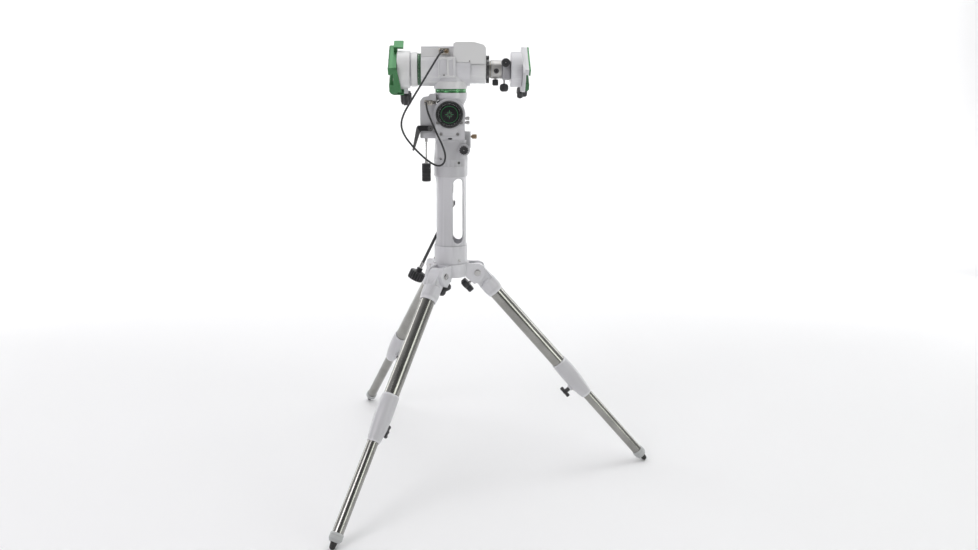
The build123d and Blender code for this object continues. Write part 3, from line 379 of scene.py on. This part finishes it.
# Lighter and darker copies of one white paint, each level set to how brightly its part is lit: painted light
# and shade.
paint = white_paint("cast_paint", 0.60)
cheek_paint = white_paint("cheek_paint", 0.53)
housing_paint = white_paint("housing_paint", 0.70)
base_paint = white_paint("base_paint", 0.50)
saddle_paint = white_paint("saddle_paint", 0.66)
leg_head_paint = white_paint("leg_head_paint", 0.62)
neck_paint = white_paint("neck_paint", 0.42)
shell = white_paint("moulded_cover", 0.66, grain=2400, rough=0.42)
ra_cover_paint = white_paint("ra_cover_paint", 0.47, grain=2400, rough=0.42)
pillar_paint = white_paint("pillar_paint", 0.585, grain=1100, rough=0.33)
casting = coated("grey_casting", (0.44, 0.45, 0.45), (0.40, 0.41, 0.41), 0.45, coat=0.1, grain=700, bump=0.3,
                 depth=0.0002, edge=0.001, edge_highlight_colour=(0.52, 0.53, 0.53))
black = coated("black_plastic", (0.012, 0.012, 0.014), (0.02, 0.02, 0.022), 0.42, grain=1800, bump=0.3,
               depth=0.00015, edge=0.0006, edge_highlight_colour=(0.05, 0.05, 0.052))
rubber = coated("foot_rubber", (0.014, 0.014, 0.014), (0.028, 0.027, 0.026), 0.62, grain=1400, bump=0.4,
                depth=0.0002, edge=0.0006, edge_highlight_colour=(0.06, 0.058, 0.055))
black_metal = coated("black_anodised", (0.018, 0.018, 0.02), (0.026, 0.026, 0.028), 0.35, metallic=0.4,
                     grain=2500, bump=0.12, edge=0.0005, edge_highlight_colour=(0.12, 0.12, 0.12))
green = coated("green_anodised", (0.022, 0.115, 0.034), (0.032, 0.150, 0.048), 0.36, metallic=0.5, grain=2600,
               bump=0.12, edge=0.0006, edge_highlight_colour=(0.07, 0.22, 0.09))
jaw_green = coated("jaw_green", (0.015, 0.085, 0.022), (0.022, 0.105, 0.03), 0.5, metallic=0.2, grain=2600,
                   bump=0.12, edge=0.0006, edge_highlight_colour=(0.05, 0.17, 0.07))
# A lighter copy of the green anodising, raised to the ring's brightness with its highlights: a painted
# highlight.
ring_green = coated("ring_green", (0.045, 0.19, 0.065), (0.06, 0.24, 0.085), 0.28, metallic=0.7, grain=2600,
                    bump=0.1, edge=0.0006, edge_highlight_colour=(0.12, 0.34, 0.15))
dark_green = coated("dark_green_ring", (0.018, 0.055, 0.024), (0.026, 0.075, 0.034), 0.36, metallic=0.5,
                    grain=2600, bump=0.12, edge=0.0006, edge_highlight_colour=(0.06, 0.16, 0.08))
grey_metal = coated("grey_metal", (0.55, 0.53, 0.48), (0.46, 0.44, 0.40), 0.38, metallic=0.7, grain=2200,
                    bump=0.12, edge=0.0006, edge_highlight_colour=(0.5, 0.5, 0.5))
jacket = coated("cable_jacket", (0.016, 0.016, 0.018), (0.026, 0.026, 0.028), 0.4, grain=1500, bump=0.18,
                edge=0, specular=0.6)
gloss_black = coated("gloss_cover", (0.006, 0.006, 0.007), (0.010, 0.010, 0.011), 0.26, coat=0.25, grain=900,
                     bump=0.03, edge=0.0006, edge_highlight_colour=(0.05, 0.05, 0.05))
brass = brushed("brass", (0.70, 0.50, 0.20), (0, 0, 1), 0.28)
steel = brushed("turned_steel", (0.62, 0.61, 0.60), (0, 0, 1), 0.22)
bronze = brushed("bronze", (0.36, 0.27, 0.18), (1, 0, 0), 0.3)
nickel = brushed("nickel", (0.66, 0.62, 0.56), (0, 1, 0), 0.2)
ink_white = coated("white_ink", (0.62, 0.64, 0.63), (0.55, 0.57, 0.56), 0.5, grain=3000, bump=0.1, edge=0)
ink_green = coated("green_ink", (0.03, 0.28, 0.08), (0.04, 0.34, 0.1), 0.5, grain=3000, bump=0.1, edge=0)
dark = coated("dark_gap", (0.01, 0.01, 0.011), (0.016, 0.016, 0.017), 0.6, grain=1500, bump=0.15, edge=0)

# ---------------------------------------------------------------- carried-over nodes
joints = {joint["name"]: joint for joint in frame["record"]["behaviour"]["joints"]}
LEGS = ("right", "rear", "front")


def leg_frame(leg, along_mm, inner_mm=0.0):
    """Point on a leg in millimetres, its long axis and the axis towards the inside of the tripod."""
    pivot = Vector(joints[f"leg_fold_{leg}"]["pos_m"]) / MM
    along = Vector(joints[f"leg_extension_{leg}"]["axis"])
    inner = Vector(joints[f"lock_knob_turn_{leg}"]["axis"])
    return pivot + along * along_mm + inner * inner_mm, along, inner


CAD_MATERIALS = {
    paint: ("tripod_hub", "ra_housing", "right_saddle"),
    cheek_paint: ("fork_cheeks",),
    base_paint: ("wedge_base", "pillar_head"),
    saddle_paint: ("left_saddle",),
    housing_paint: ("dec_housing",),
    pillar_paint: ("pillar_tube",),
    shell: ("dec_motor_cover",),
    ra_cover_paint: ("ra_motor_cover",),
    steel: ("pivot_bolts", "adjuster_shaft", "ra_shaft", "dec_shaft", "ra_worm", "dec_worm"),
    brass: ("ra_worm_wheel", "dec_worm_wheel"),
    green: ("left_saddle_plate", "left_saddle_jaw"),
    jaw_green: ("right_saddle_jaw",),
    black_metal: ("adapter_flange", "ra_clamp_lever", "adjuster_rod"),
    gloss_black: ("latitude_covers",),
    grey_metal: ("adapter_body",),
}


def dress(node, material):
    """Gives a carried-over node its material."""
    data = frame["nodes"][node].data
    data.materials.clear()
    data.materials.append(material)


for cad_material, cad_nodes in CAD_MATERIALS.items():
    for cad_node in cad_nodes:
        dress(cad_node, cad_material)
for leg in LEGS:
    _, leg_axis, _ = leg_frame(leg, 0)
    tube_steel = brushed(f"tube_steel_{leg}", (0.37, 0.365, 0.345), leg_axis, 0.17, dark=0.78)
    dress(f"leg_castings_{leg}", leg_head_paint)
    dress(f"upper_tube_{leg}", tube_steel)
    dress(f"lower_tube_{leg}", tube_steel)

# ---------------------------------------------------------------- cable
cable_line = centreline("cable_line", CABLE_ROUTE)
cable_mesh = bmesh.new()
tube(cable_mesh, cable_line, CABLE_D / 2)
cable = piece("motor_cable_skin", cable_mesh, "ra_axis", jacket, ("motor_cable",), ride=False)


def plug(name, node, body, origin, length, radius):
    """Round connector along -Y: knurled nickel ring and barrel, and the ribbed strain relief it returns."""
    matrix = stand(origin, (0, -1, 0))
    metal = bmesh.new()
    turned(metal, matrix, [
        (0, 0), (radius - 1, 0), (radius - 1, 1.5), (radius - 0.3, 2), (radius, 2.6, 0.5),
        (radius, length * 0.42, 0.5),
        (radius - 0.5, length * 0.45), (radius - 1.6, length * 0.46), (radius - 1.6, length * 0.6),
        (radius - 2, length * 0.62), (0, length * 0.62)], scallops(24), 96)
    piece(f"{name}_ring", metal, body, nickel)
    boot = bmesh.new()
    profile = [(0, length * 0.6), (radius - 2.2, length * 0.6), (radius - 2.2, length * 0.66)]
    rib = 0.66
    while rib < 0.96:
        taper = radius - 2.3 - (rib - 0.66) * 2.4
        profile += [(taper, length * rib), (taper, length * (rib + 0.035)),
                    (taper - 0.5, length * (rib + 0.04)), (taper - 0.5, length * (rib + 0.06))]
        rib += 0.065
    profile += [(3.0, length - 0.05), (0, length - 0.05)]
    turned(boot, matrix, profile, steps=32)
    return piece(f"{name}_boot", boot, body, rubber, (node,))


plug("dec_connector", "dec_plug", "ra_axis", (-27, -34, DEC_SOCKET_Z), 22, 8)
ra_boot = plug("ra_connector", "ra_plug", "ra_body", (-73, RA_COVER_Y, RA_SOCKET_Z), 18, 6)
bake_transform(cable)


# ---------------------------------------------------------------- knobs
def knob_shape(name, body, origin, axis, radius, height, lobes, depth, shank, hint=(1, 0, 0), sharp=1.0,
               recess=0.35, cap=None):
    """Moulded lobed knob with a dished top and a steel shank, given as radius and length."""
    matrix = stand(origin, axis, hint)
    body_mesh = bmesh.new()
    wave = scallops(lobes, sharp)
    soft = min(height * 0.16, 3.0)
    profile = [
        (0, 0), (radius * 0.55, 0), (radius - soft * 1.2, 0.2, depth * 0.8),
        (radius - soft * 0.35, soft * 0.4, depth), (radius, soft, depth), (radius, height * 0.5, depth),
        (radius, height - soft, depth), (radius - soft * 0.3, height - soft * 0.35, depth),
        (radius - soft, height, depth * 0.95), (radius * recess + 1.5, height, 0),
        (radius * recess, height - 0.8, 0), (0, height - 0.8)]
    turned(body_mesh, matrix, profile, wave, max(96, lobes * 12))
    piece(name, body_mesh, body, black, (body,), angle=40)
    steel_mesh = bmesh.new()
    shank_radius, shank_length = shank
    turned(steel_mesh, matrix, [
        (0, 0.5), (shank_radius, 0.5), (shank_radius, -shank_length + 1), (shank_radius - 1, -shank_length),
        (0, -shank_length)], steps=32)
    boss = cap or radius * recess * 0.75
    turned(steel_mesh, matrix, [(boss, height - 1.2), (boss, height - 0.5), (boss - 0.6, height - 0.1),
                                (boss * 0.5, height - 0.1), (boss * 0.48, height - 1.2), (0, height - 1.2)],
           steps=36)
    piece(f"{name}_screw", steel_mesh, body, steel)


for leg in LEGS:
    origin, along, inner = leg_frame(leg, 12, 45)
    knob_shape(f"spread_grip_{leg}", f"spread_knob_{leg}", origin, inner, 25, 18, 3, 10.5, shank=(4, 30),
               hint=along, sharp=1.6)
    origin, along, inner = leg_frame(leg, 482, 31)
    wing = bmesh.new()
    matrix = stand(origin, inner, along)
    turned(wing, matrix, [
        (0, 0), (6.0, 0), (6.5, 0.6), (6.5, 13), (5.6, 14.2), (5.2, 23.2), (4.6, 24), (0, 24)], steps=36)
    block(wing, matrix @ Matrix.Translation((0, 0, 18.5)), (37, 8.5, 10.6), 3.2, 4)
    for end in (-1, 1):
        turned(wing, matrix @ Matrix.Translation((end * 13.5, 0, 0)), [
            (0, 13.0), (3.6, 13.0), (5.2, 14.6), (5.4, 18.5), (5.2, 22.4), (3.6, 24.0), (0, 24.0)], steps=32)
    piece(f"lock_wing_{leg}", wing, f"lock_knob_{leg}", black, (f"lock_knob_{leg}",))
    screw = bmesh.new()
    turned(screw, matrix, [(0, -14), (3.4, -14), (4, -13.2), (4, 0.5), (0, 0.5)], steps=28)
    piece(f"lock_screw_{leg}", screw, f"lock_knob_{leg}", steel)

for name, side in (("front", -1), ("rear", 1)):
    knob_shape(f"azimuth_grip_{name}", f"azimuth_knob_{name}", (39, side * 61, 1006), (0, side, 0),
               13.8, 15, 12, 1.9, shank=(4, 51), recess=0.2, cap=1.6)

LONG = Vector((0, cos(SADDLE_TILT), sin(SADDLE_TILT)))
DOWN_ACROSS = Vector((0, sin(SADDLE_TILT), -cos(SADDLE_TILT)))
left_knob = Vector((LEFT_FACE_X + 22, 0, DEC_Z)) + DOWN_ACROSS * 90
knob_shape("left_clamp_grip", "left_saddle_knob", left_knob, DOWN_ACROSS, 17.5, 40, 10, 2.6, shank=(4, 30),
           recess=0.45)
right_knob = Vector((RIGHT_FACE_X + 5, 0, DEC_Z)) + DOWN_ACROSS * 79
knob_shape("right_clamp_grip", "right_saddle_knob", right_knob, DOWN_ACROSS, 18.5, 22, 3, 6.5, shank=(3, 21),
           sharp=1.5)
knob_shape("lower_grip", "adapter_lower_knob", (135.5, 0, 1216.2), (0, 0, -1), 9, 19, 20, 0.7, shank=(3, 10),
           recess=0.5)
stem_grip = bmesh.new()
stem_matrix = stand((162, 0, 1203), (0, 0, -1))
turned(stem_grip, stem_matrix, [
    (0, 0), (7, 0), (10.2, 2.0, 0.4), (12.5, 5.6, 0.8), (13, 9, 0.9), (13, 15, 0.9), (12.5, 18.4, 0.8),
    (10.2, 22.0, 0.4), (7, 24), (5.6, 23.4), (0, 23.4)], scallops(20), 200)
piece("stem_grip", stem_grip, "adapter_stem_knob", black, ("adapter_stem_knob",), angle=40)
stem_screw = bmesh.new()
turned(stem_screw, stem_matrix, [(0, 0.5), (2.7, 0.5), (2.7, -17), (1.7, -18), (0, -18)], steps=28)
piece("stem_grip_screw", stem_screw, "adapter_stem_knob", steel)
knob_shape("front_grip", "adapter_front_knob", (164.5, -28, 1266), (0, -1, 0), 13.5, 17, 24, 0.8,
           shank=(3, 18), recess=0.25, cap=1.6)

rod_axis = Vector(joints["adjuster_rod_turn"]["axis"])
wheel_origin = Vector((0, 0, 829)) + rod_axis * 218.3
wheel = bmesh.new()
turned(wheel, stand(wheel_origin, rod_axis), [
    (5.6, 0.2), (8.4, 0.2), (9, 0.9), (9, 11), (10.5, 12.2), (20, 12.6, 1.2), (23.6, 13.4, 2.6),
    (25, 15.4, 3.2), (25, 26, 3.2), (25, 37.4, 3.2), (23.8, 39.8, 2.8), (21.4, 41, 1.6), (15, 41),
    (13.8, 39.6), (0, 39.6)], scallops(18), 216)
piece("adjuster_wheel_grip", wheel, "adjuster_rod", black, ("hand_wheel",), angle=40)
rod_trim = bmesh.new()
turned(rod_trim, stand(wheel_origin, rod_axis), [
    (4.62, -20), (5.6, -20), (6.0, -19.5), (6.0, -7), (5.4, -6.4), (5.4, 0.1), (4.62, 0.1)], steps=40)
cap_screw(rod_trim, wheel_origin - rod_axis * 14 + Vector((0, -5.6, 0)), (0, -1, 0), 2.2, 1.4)
piece("adjuster_rod_sleeve", rod_trim, "adjuster_rod", steel)

# ---------------------------------------------------------------- slow-motion handle
grip_matrix = stand((-74.5, -25, 908), (0, 0, 1))
grip_mesh = bmesh.new()
profile = [(0, 0), (11.8, 0), (13.2, 1.0), (13.5, 2.6)]
for band in range(5):
    low = 4 + band * 10.1
    profile += [(13.5, low, 0.0), (13.5, low + 0.6, 0.9), (13.5, low + 8.6, 0.9), (13.5, low + 9.2, 0.0)]
profile += [(12.6, 54.6), (5.4, 54.7), (0, 54.7)]
turned(grip_mesh, grip_matrix, profile, scallops(40), 240)
piece("handle_grip", grip_mesh, "slow_motion_handle", black, ("slow_motion_handle",),
      angle=40)
stem = bmesh.new()
turned(stem, grip_matrix, [
    (0, 54), (5, 54.9), (5, 62), (4.2, 66.6), (2.5, 67), (2.5, 120), (3.4, 120.6), (4.5, 121), (4.5, 131.7),
    (0, 131.7)], steps=36)
piece("handle_stem", stem, "slow_motion_handle", steel)

# ---------------------------------------------------------------- feet
for leg in LEGS:
    origin, along, inner = leg_frame(leg, 0)
    matrix = stand(origin, along, inner)
    collar = bmesh.new()
    turned(collar, matrix, [
        (15.93, 783), (17.0, 783), (17.6, 783.6), (18.6, 786), (18.6, 789), (18.0, 789.5), (18.0, 790.5),
        (18.6, 791), (18.6, 798.6), (17.8, 800.2), (14.4, 806.4), (13.2, 807), (0, 807)], steps=64)
    piece(f"foot_collar_{leg}", collar, f"lower_leg_{leg}", casting, (f"foot_{leg}",))
    tip_mesh = bmesh.new()
    tip_profile = [(0, 805), (9.6, 806), (9.6, 808.4), (8.9, 808.8), (8.9, 809.6), (9.1, 810), (8.2, 817)]
    for step in range(1, 8):
        turn = radians(90 * step / 8)
        tip_profile.append((8 * cos(turn), 818.2 + 8 * sin(turn)))
    tip_profile.append((0, 826.2))
    turned(tip_mesh, matrix, tip_profile, steps=40)
    piece(f"foot_tip_{leg}", tip_mesh, f"lower_leg_{leg}", rubber)

# ---------------------------------------------------------------- setting circles
SHAFT_HOLE_R = 15.05
DIVISIONS = 72


def graduated_ring(name, node, body, matrix, radius, length, material):
    """Green ring with chamfered rims and engraved, white-filled division marks."""
    ring = bmesh.new()
    turned(ring, matrix, [
        (SHAFT_HOLE_R, 0), (radius - 1.0, 0), (radius, 1.0), (radius, length * 0.3),
        (radius - 0.25, length * 0.34), (radius - 0.25, length * 0.38), (radius, length * 0.42),
        (radius, length - 1.0), (radius - 1.0, length), (SHAFT_HOLE_R, length)], steps=144)
    piece(name, ring, body, material, (node,))
    marks = bmesh.new()
    for step in range(DIVISIONS):
        tall = 4.4 if step % 6 == 0 else (3.2 if step % 3 == 0 else 2.2)
        turn = Matrix.Rotation(2 * pi * step / DIVISIONS, 4, "Z")
        spot = Matrix.Translation((radius - 0.1, 0, length * 0.46 + tall / 2))
        block(marks, matrix @ turn @ spot, (0.35, 0.5, tall), 0)
    piece(f"{name}_marks", marks, body, ink_white)


graduated_ring("ra_circle", "ra_setting_circle", "ra_axis", stand((0, 0, 1176.3), (0, 0, 1)), 47, 11.4,
               ring_green)
dec_low, dec_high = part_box("dec_setting_circle")
graduated_ring("dec_circle", "dec_setting_circle", "dec_axis",
               stand((dec_high.x / MM, 0, DEC_Z), (-1, 0, 0), (0, 0, 1)), 48, (dec_high.x - dec_low.x) / MM,
               dark_green)

# ---------------------------------------------------------------- latitude covers
for name, side in (("front", -1), ("rear", 1)):
    matrix = stand((LAT_X, side * (CHEEK_Y + 9.9), LAT_Z), (0, side, 0), (0, 0, 1))
    scale_marks = bmesh.new()
    for step in range(DIVISIONS):
        if step % 18 == 9:
            continue
        tall = 2.8 if step % 6 == 0 else 1.4
        turn = Matrix.Rotation(2 * pi * step / DIVISIONS, 4, "Z")
        spot = Matrix.Translation((33.2 - tall / 2, 0, -0.55))
        block(scale_marks, matrix @ turn @ spot, (tall, 0.4, 0.5), 0)
    piece(f"latitude_marks_{name}", scale_marks, "azimuth_base", ink_white)
    emblem = bmesh.new()
    turned(emblem, matrix, [(25.4, -0.55), (25.4, -0.15), (24.6, -0.15), (24.6, -0.55)], steps=96)
    for step in range(8):
        turn = Matrix.Rotation(2 * pi * step / 8, 4, "Z")
        length = 9 if step % 2 == 0 else 5
        spot = Matrix.Translation((4 + length / 2, 0, -0.2))
        block(emblem, matrix @ turn @ spot, (length, 1.0, 0.4), 0.1, 1)
    piece(f"latitude_emblem_{name}", emblem, "azimuth_base", ink_green)
    clips = bmesh.new()
    for x in (-39.5, 31.5):
        turned(clips, stand((x, side * CHEEK_Y, LAT_Z - 24.7), (0, side, 0)), [
            (0, 0), (4.8, 0), (4.8, 3.6), (4.2, 4.4), (1.9, 4.4), (1.9, 2.4), (0, 2.4)], steps=36)
    piece(f"cover_clips_{name}", clips, "azimuth_base", steel)
    screws = bmesh.new()
    for x in (-29.4, 20.6):
        cap_screw(screws, (x, side * (CHEEK_Y - 3.5), 1053.9), (0, side, 0), 4.3, 3.2)
    piece(f"cheek_screws_{name}", screws, "azimuth_base", steel)
    window = bmesh.new()
    turned(window, stand((-2, side * CHEEK_Y, 1040), (0, side, 0)) @ Matrix.Diagonal((7, 2.4, 1, 1)), [
        (0, 0), (1, 0), (1, 0.5), (0.8, 0.9), (0, 1.1)], steps=36)
    piece(f"level_window_{name}", window, "azimuth_base", dark)

# ---------------------------------------------------------------- screws and small fittings
pillar_screws = bmesh.new()
for azimuth in (-60, 60, 180):
    out = Vector((cos(radians(azimuth)), sin(radians(azimuth)), 0))
    cap_screw(pillar_screws, out * 51.1 + Vector((0, 0, 664)), out, 3.8, 2.2)
piece("pillar_screws", pillar_screws, "pillar", steel)

base_screws = bmesh.new()
for azimuth, height, size in ((-62.5, 966, 4.2), (-125, 978, 3.6)):
    out = Vector((cos(radians(azimuth)), sin(radians(azimuth)), 0))
    cap_screw(base_screws, out * 51.8 + Vector((0, 0, height)), out, size, 2.4)
piece("base_screws", base_screws, "azimuth_base", black_metal)

thumb_screws = bmesh.new()
for height in (1101, 1088):
    turned(thumb_screws, stand((40, -56, height), (1, 0, 0)), [
        (0, 0), (3.4, 0), (3.4, 6), (4.8, 6.4), (5.3, 7, 0.4), (5.3, 15, 0.4), (4.7, 16), (1.6, 16),
        (1.4, 15.2), (0, 15.2)], scallops(18), 108)
piece("thumb_screws", thumb_screws, "azimuth_base", steel)

lever_screw = bmesh.new()
cap_screw(lever_screw, (-61, -58.8, 1071), (0, -1, 0), 3.6, 1.4)
piece("lever_screw", lever_screw, "ra_clamp_lever", black_metal)

stop_screw = bmesh.new()
turned(stop_screw, stand((44, -20, 1044), (1, 0, 0)), [
    (0, 0), (3, 0), (3, 18), (5.2, 20.6), (6.5, 22, 0.5), (6.9, 25, 0.5), (6.9, 32, 0.5), (6.2, 34.4, 0.3),
    (5.4, 35), (2.2, 35), (2, 33.6), (0, 33.6)], scallops(26), 208)
piece("stop_screw_head", stop_screw, "latitude_stop_screw", bronze, ("latitude_stop_screw",))

sockets = bmesh.new()
block(sockets, stand((-20.5, -35, DEC_SOCKET_Z), (0, -1, 0)), (31, 19, 3.4), 1)
piece("dec_socket_plate", sockets, "ra_axis", nickel)
socket_nut = bmesh.new()
turned(socket_nut, stand((-12.5, -36, DEC_SOCKET_Z), (0, -1, 0)), [
    (0, 0), (5.8, 0), (6.2, 0.6, 0.4), (6.2, 6, 0.4), (5.6, 6.6), (4.2, 7), (4.2, 12), (3.4, 12.8),
    (0, 12.8)], scallops(20), 160)
piece("dec_socket_nut", socket_nut, "ra_axis", bronze)
ra_nut = bmesh.new()
block(ra_nut, stand((-66.5, RA_COVER_Y - 0.6, RA_SOCKET_Z), (0, -1, 0)), (24, 15, 2.6), 0.8)
turned(ra_nut, stand((-61.5, RA_COVER_Y, RA_SOCKET_Z), (0, -1, 0)), [
    (0, 0), (4.4, 0), (4.8, 0.6, 0.3), (4.8, 7, 0.3), (4.2, 7.6), (3, 8), (3, 11), (2.4, 11.6), (0, 11.6)],
    scallops(18), 144)
piece("ra_socket_nut", ra_nut, "ra_body", nickel)

power_place = stand((-50, RA_COVER_Y, RA_SOCKET_Z + 1), (0, -1, 0))
socket = bmesh.new()
turned(socket, power_place, [
    (2.9, -0.4), (5.4, -0.4), (5.4, 0.9), (4.9, 1.3), (3.3, 1.3), (2.9, 0.9)], steps=40)
piece("power_socket_ring", socket, "ra_body", nickel)
socket_pin = bmesh.new()
turned(socket_pin, power_place, [(0, -8), (1.0, -8), (1.0, -1.2), (0.7, -0.8), (0, -0.8)], steps=20)
piece("power_socket_pin", socket_pin, "ra_body", nickel)

cover_screws = bmesh.new()
for x, y, z, axis in ((56, -46, 1270, (0, -1, 0)), (56, 46, 1270, (0, 1, 0)), (-20, -53, 1229, (0, -1, 0))):
    cap_screw(cover_screws, (x, y - 0.4 * axis[1], z), axis, 2.4, 1.4)
piece("cover_screws", cover_screws, "ra_axis", steel)

# ---------------------------------------------------------------- saddles
def saddle_frame(face_x, outward, along, across, out):
    """Frame on a saddle's face: x along the saddle, y across it and up, z outward."""
    origin = Vector((face_x, 0, DEC_Z)) + LONG * outward * along - DOWN_ACROSS * across
    return stand(origin + Vector((outward * out, 0, 0)), (outward, 0, 0), LONG * outward)


jaw_strip = bmesh.new()
block(jaw_strip, saddle_frame(RIGHT_FACE_X, 1, 0, 30.3, 20.8), (112.6, 22.6, 5.2), 0.9)
piece("right_jaw_strip", jaw_strip, "dec_axis", green)
for name, face_x, outward, spots in (
        ("right_saddle_screws", RIGHT_FACE_X, 1, ((-44, 30, 23.4), (0, 30, 23.4), (44, 30, 23.4))),
        ("left_saddle_screws", LEFT_FACE_X, -1, ((-44, 36, 25), (0, 36, 25), (44, 36, 25)))):
    screws = bmesh.new()
    for along, across, out in (*spots, (-50, 0, 10), (50, 0, 10)):
        spot = saddle_frame(face_x, outward, along, across, out - 0.4)
        cap_screw(screws, spot.translation / MM, (outward, 0, 0), 3.4, 1.8)
    piece(name, screws, "dec_axis", steel)

# ---------------------------------------------------------------- adapter
barrel = bmesh.new()
turned(barrel, stand((116.5, 0, DEC_Z), (1, 0, 0), (0, 0, 1)), [
    (0, 0), (24.6, 0), (24.6, 3.4), (27.0, 4.4), (27.8, 5.2), (27.8, 9.6), (27.2, 10), (27.2, 10.8),
    (27.8, 11.2), (27.8, 31), (27.2, 31.5), (27.2, 32.3), (27.8, 32.8), (27.8, 36.6),
    (26.8, 38), (0, 38)], steps=96)
piece("adapter_barrel", barrel, "dec_axis", grey_metal, ("adapter_body",))
neck = bmesh.new()
block(neck, stand((167.6, 0, DEC_Z - 2), (1, 0, 0), (0, 1, 0)), (50, 60, 26), 7, 5)
piece("adapter_neck", neck, "dec_axis", neck_paint)
adapter_screw = bmesh.new()
turned(adapter_screw, stand((137, -26.6, DEC_Z - 5), (0, -1, 0)), [
    (0, 0), (7.4, 0), (8, 0.8, 0.5), (8, 3.6, 0.5), (7.2, 4.4), (3.2, 4.4), (3.0, 2.4), (0, 2.4)],
    scallops(20), 120)
piece("adapter_set_screw", adapter_screw, "dec_axis", black)

# ---------------------------------------------------------------- stage and light
backdrop = bmesh.new()
SWEEP = 2.5
FLOOR_BACK = 5.0
profile = [(-9.0, 0.0), (FLOOR_BACK, 0.0)]
for step in range(1, 13):
    turn = pi / 2 * step / 12
    profile.append((FLOOR_BACK + SWEEP * sin(turn), SWEEP * (1 - cos(turn))))
profile.append((FLOOR_BACK + SWEEP, 9.0))
rows = [[backdrop.verts.new((x, y, z)) for x in (-14.0, 14.0)] for y, z in profile]
for near, far in zip(rows, rows[1:]):
    backdrop.faces.new((near[0], near[1], far[1], far[0]))
stage_data = bpy.data.meshes.new("stage")
backdrop.to_mesh(stage_data)
backdrop.free()
stage_data.shade_smooth()
stage_material, stage_tree, stage_shader, stage_place = nodes_of("stage")
stage_tint = mixed(stage_tree, noise(stage_tree, stage_place, 0.8), (0.88, 0.88, 0.885), (0.90, 0.90, 0.905))
stage_tree.links.new(stage_tint, stage_shader.inputs["Base Color"])
stage_shader.inputs["Roughness"].default_value = 0.9
stage_data.materials.append(stage_material)
stage = bpy.data.objects.new("stage", stage_data)
bpy.context.scene.collection.objects.link(stage)


def softbox(name, place, target, size, power, tint=(1, 1, 1)):
    """Area light that faces the target."""
    data = bpy.data.lights.new(name, "AREA")
    data.shape = "RECTANGLE"
    data.size, data.size_y = size
    data.energy = power
    data.color = tint
    lamp = bpy.data.objects.new(name, data)
    lamp.location = place
    lamp.rotation_euler = (Vector(target) - Vector(place)).to_track_quat("-Z", "Y").to_euler()
    bpy.context.scene.collection.objects.link(lamp)


softbox("key", (-2.4, -2.8, 3.0), (0, 0, 0.9), (1.8, 1.8), 46, (1.0, 0.97, 1.0))
softbox("fill", (2.8, -2.4, 1.6), (0, 0, 0.8), (1.2, 2.6), 26, (0.97, 1.0, 0.94))
softbox("top", (0.2, 0.4, 4.4), (0, 0, 0.5), (3.0, 3.0), 50)
softbox("rim_left", (-3.4, 1.8, 1.6), (0, 0, 0.9), (0.9, 3.0), 26)
softbox("rim_right", (3.4, 1.8, 1.6), (0, 0, 0.9), (0.9, 3.0), 26)
softbox("wall_left", (-4.0, 3.4, 3.4), (-2.0, 7.5, 2.0), (2.4, 2.4), 210)
softbox("wall_right", (4.0, 3.4, 3.4), (2.0, 7.5, 2.0), (2.4, 2.4), 210)

# The room is darker on the camera's side, which gives the bare metal its dark streaks.
world = bpy.data.worlds.new("studio")
bpy.context.scene.world = world
world.use_nodes = True
world_tree = world.node_tree
world_way = world_tree.nodes.new("ShaderNodeTexCoord")
world_split = world_tree.nodes.new("ShaderNodeSeparateXYZ")
world_tree.links.new(world_way.outputs["Generated"], world_split.inputs["Vector"])
world_light = ramp(world_tree, world_split.outputs["Y"], 0.16, 1.0, -0.5, 0.6)
world_tree.links.new(world_light, world_tree.nodes["Background"].inputs["Strength"])
world_tree.nodes["Background"].inputs["Color"].default_value = (0.95, 0.955, 0.97, 1)
bpy.context.scene.view_settings.view_transform = "Standard"
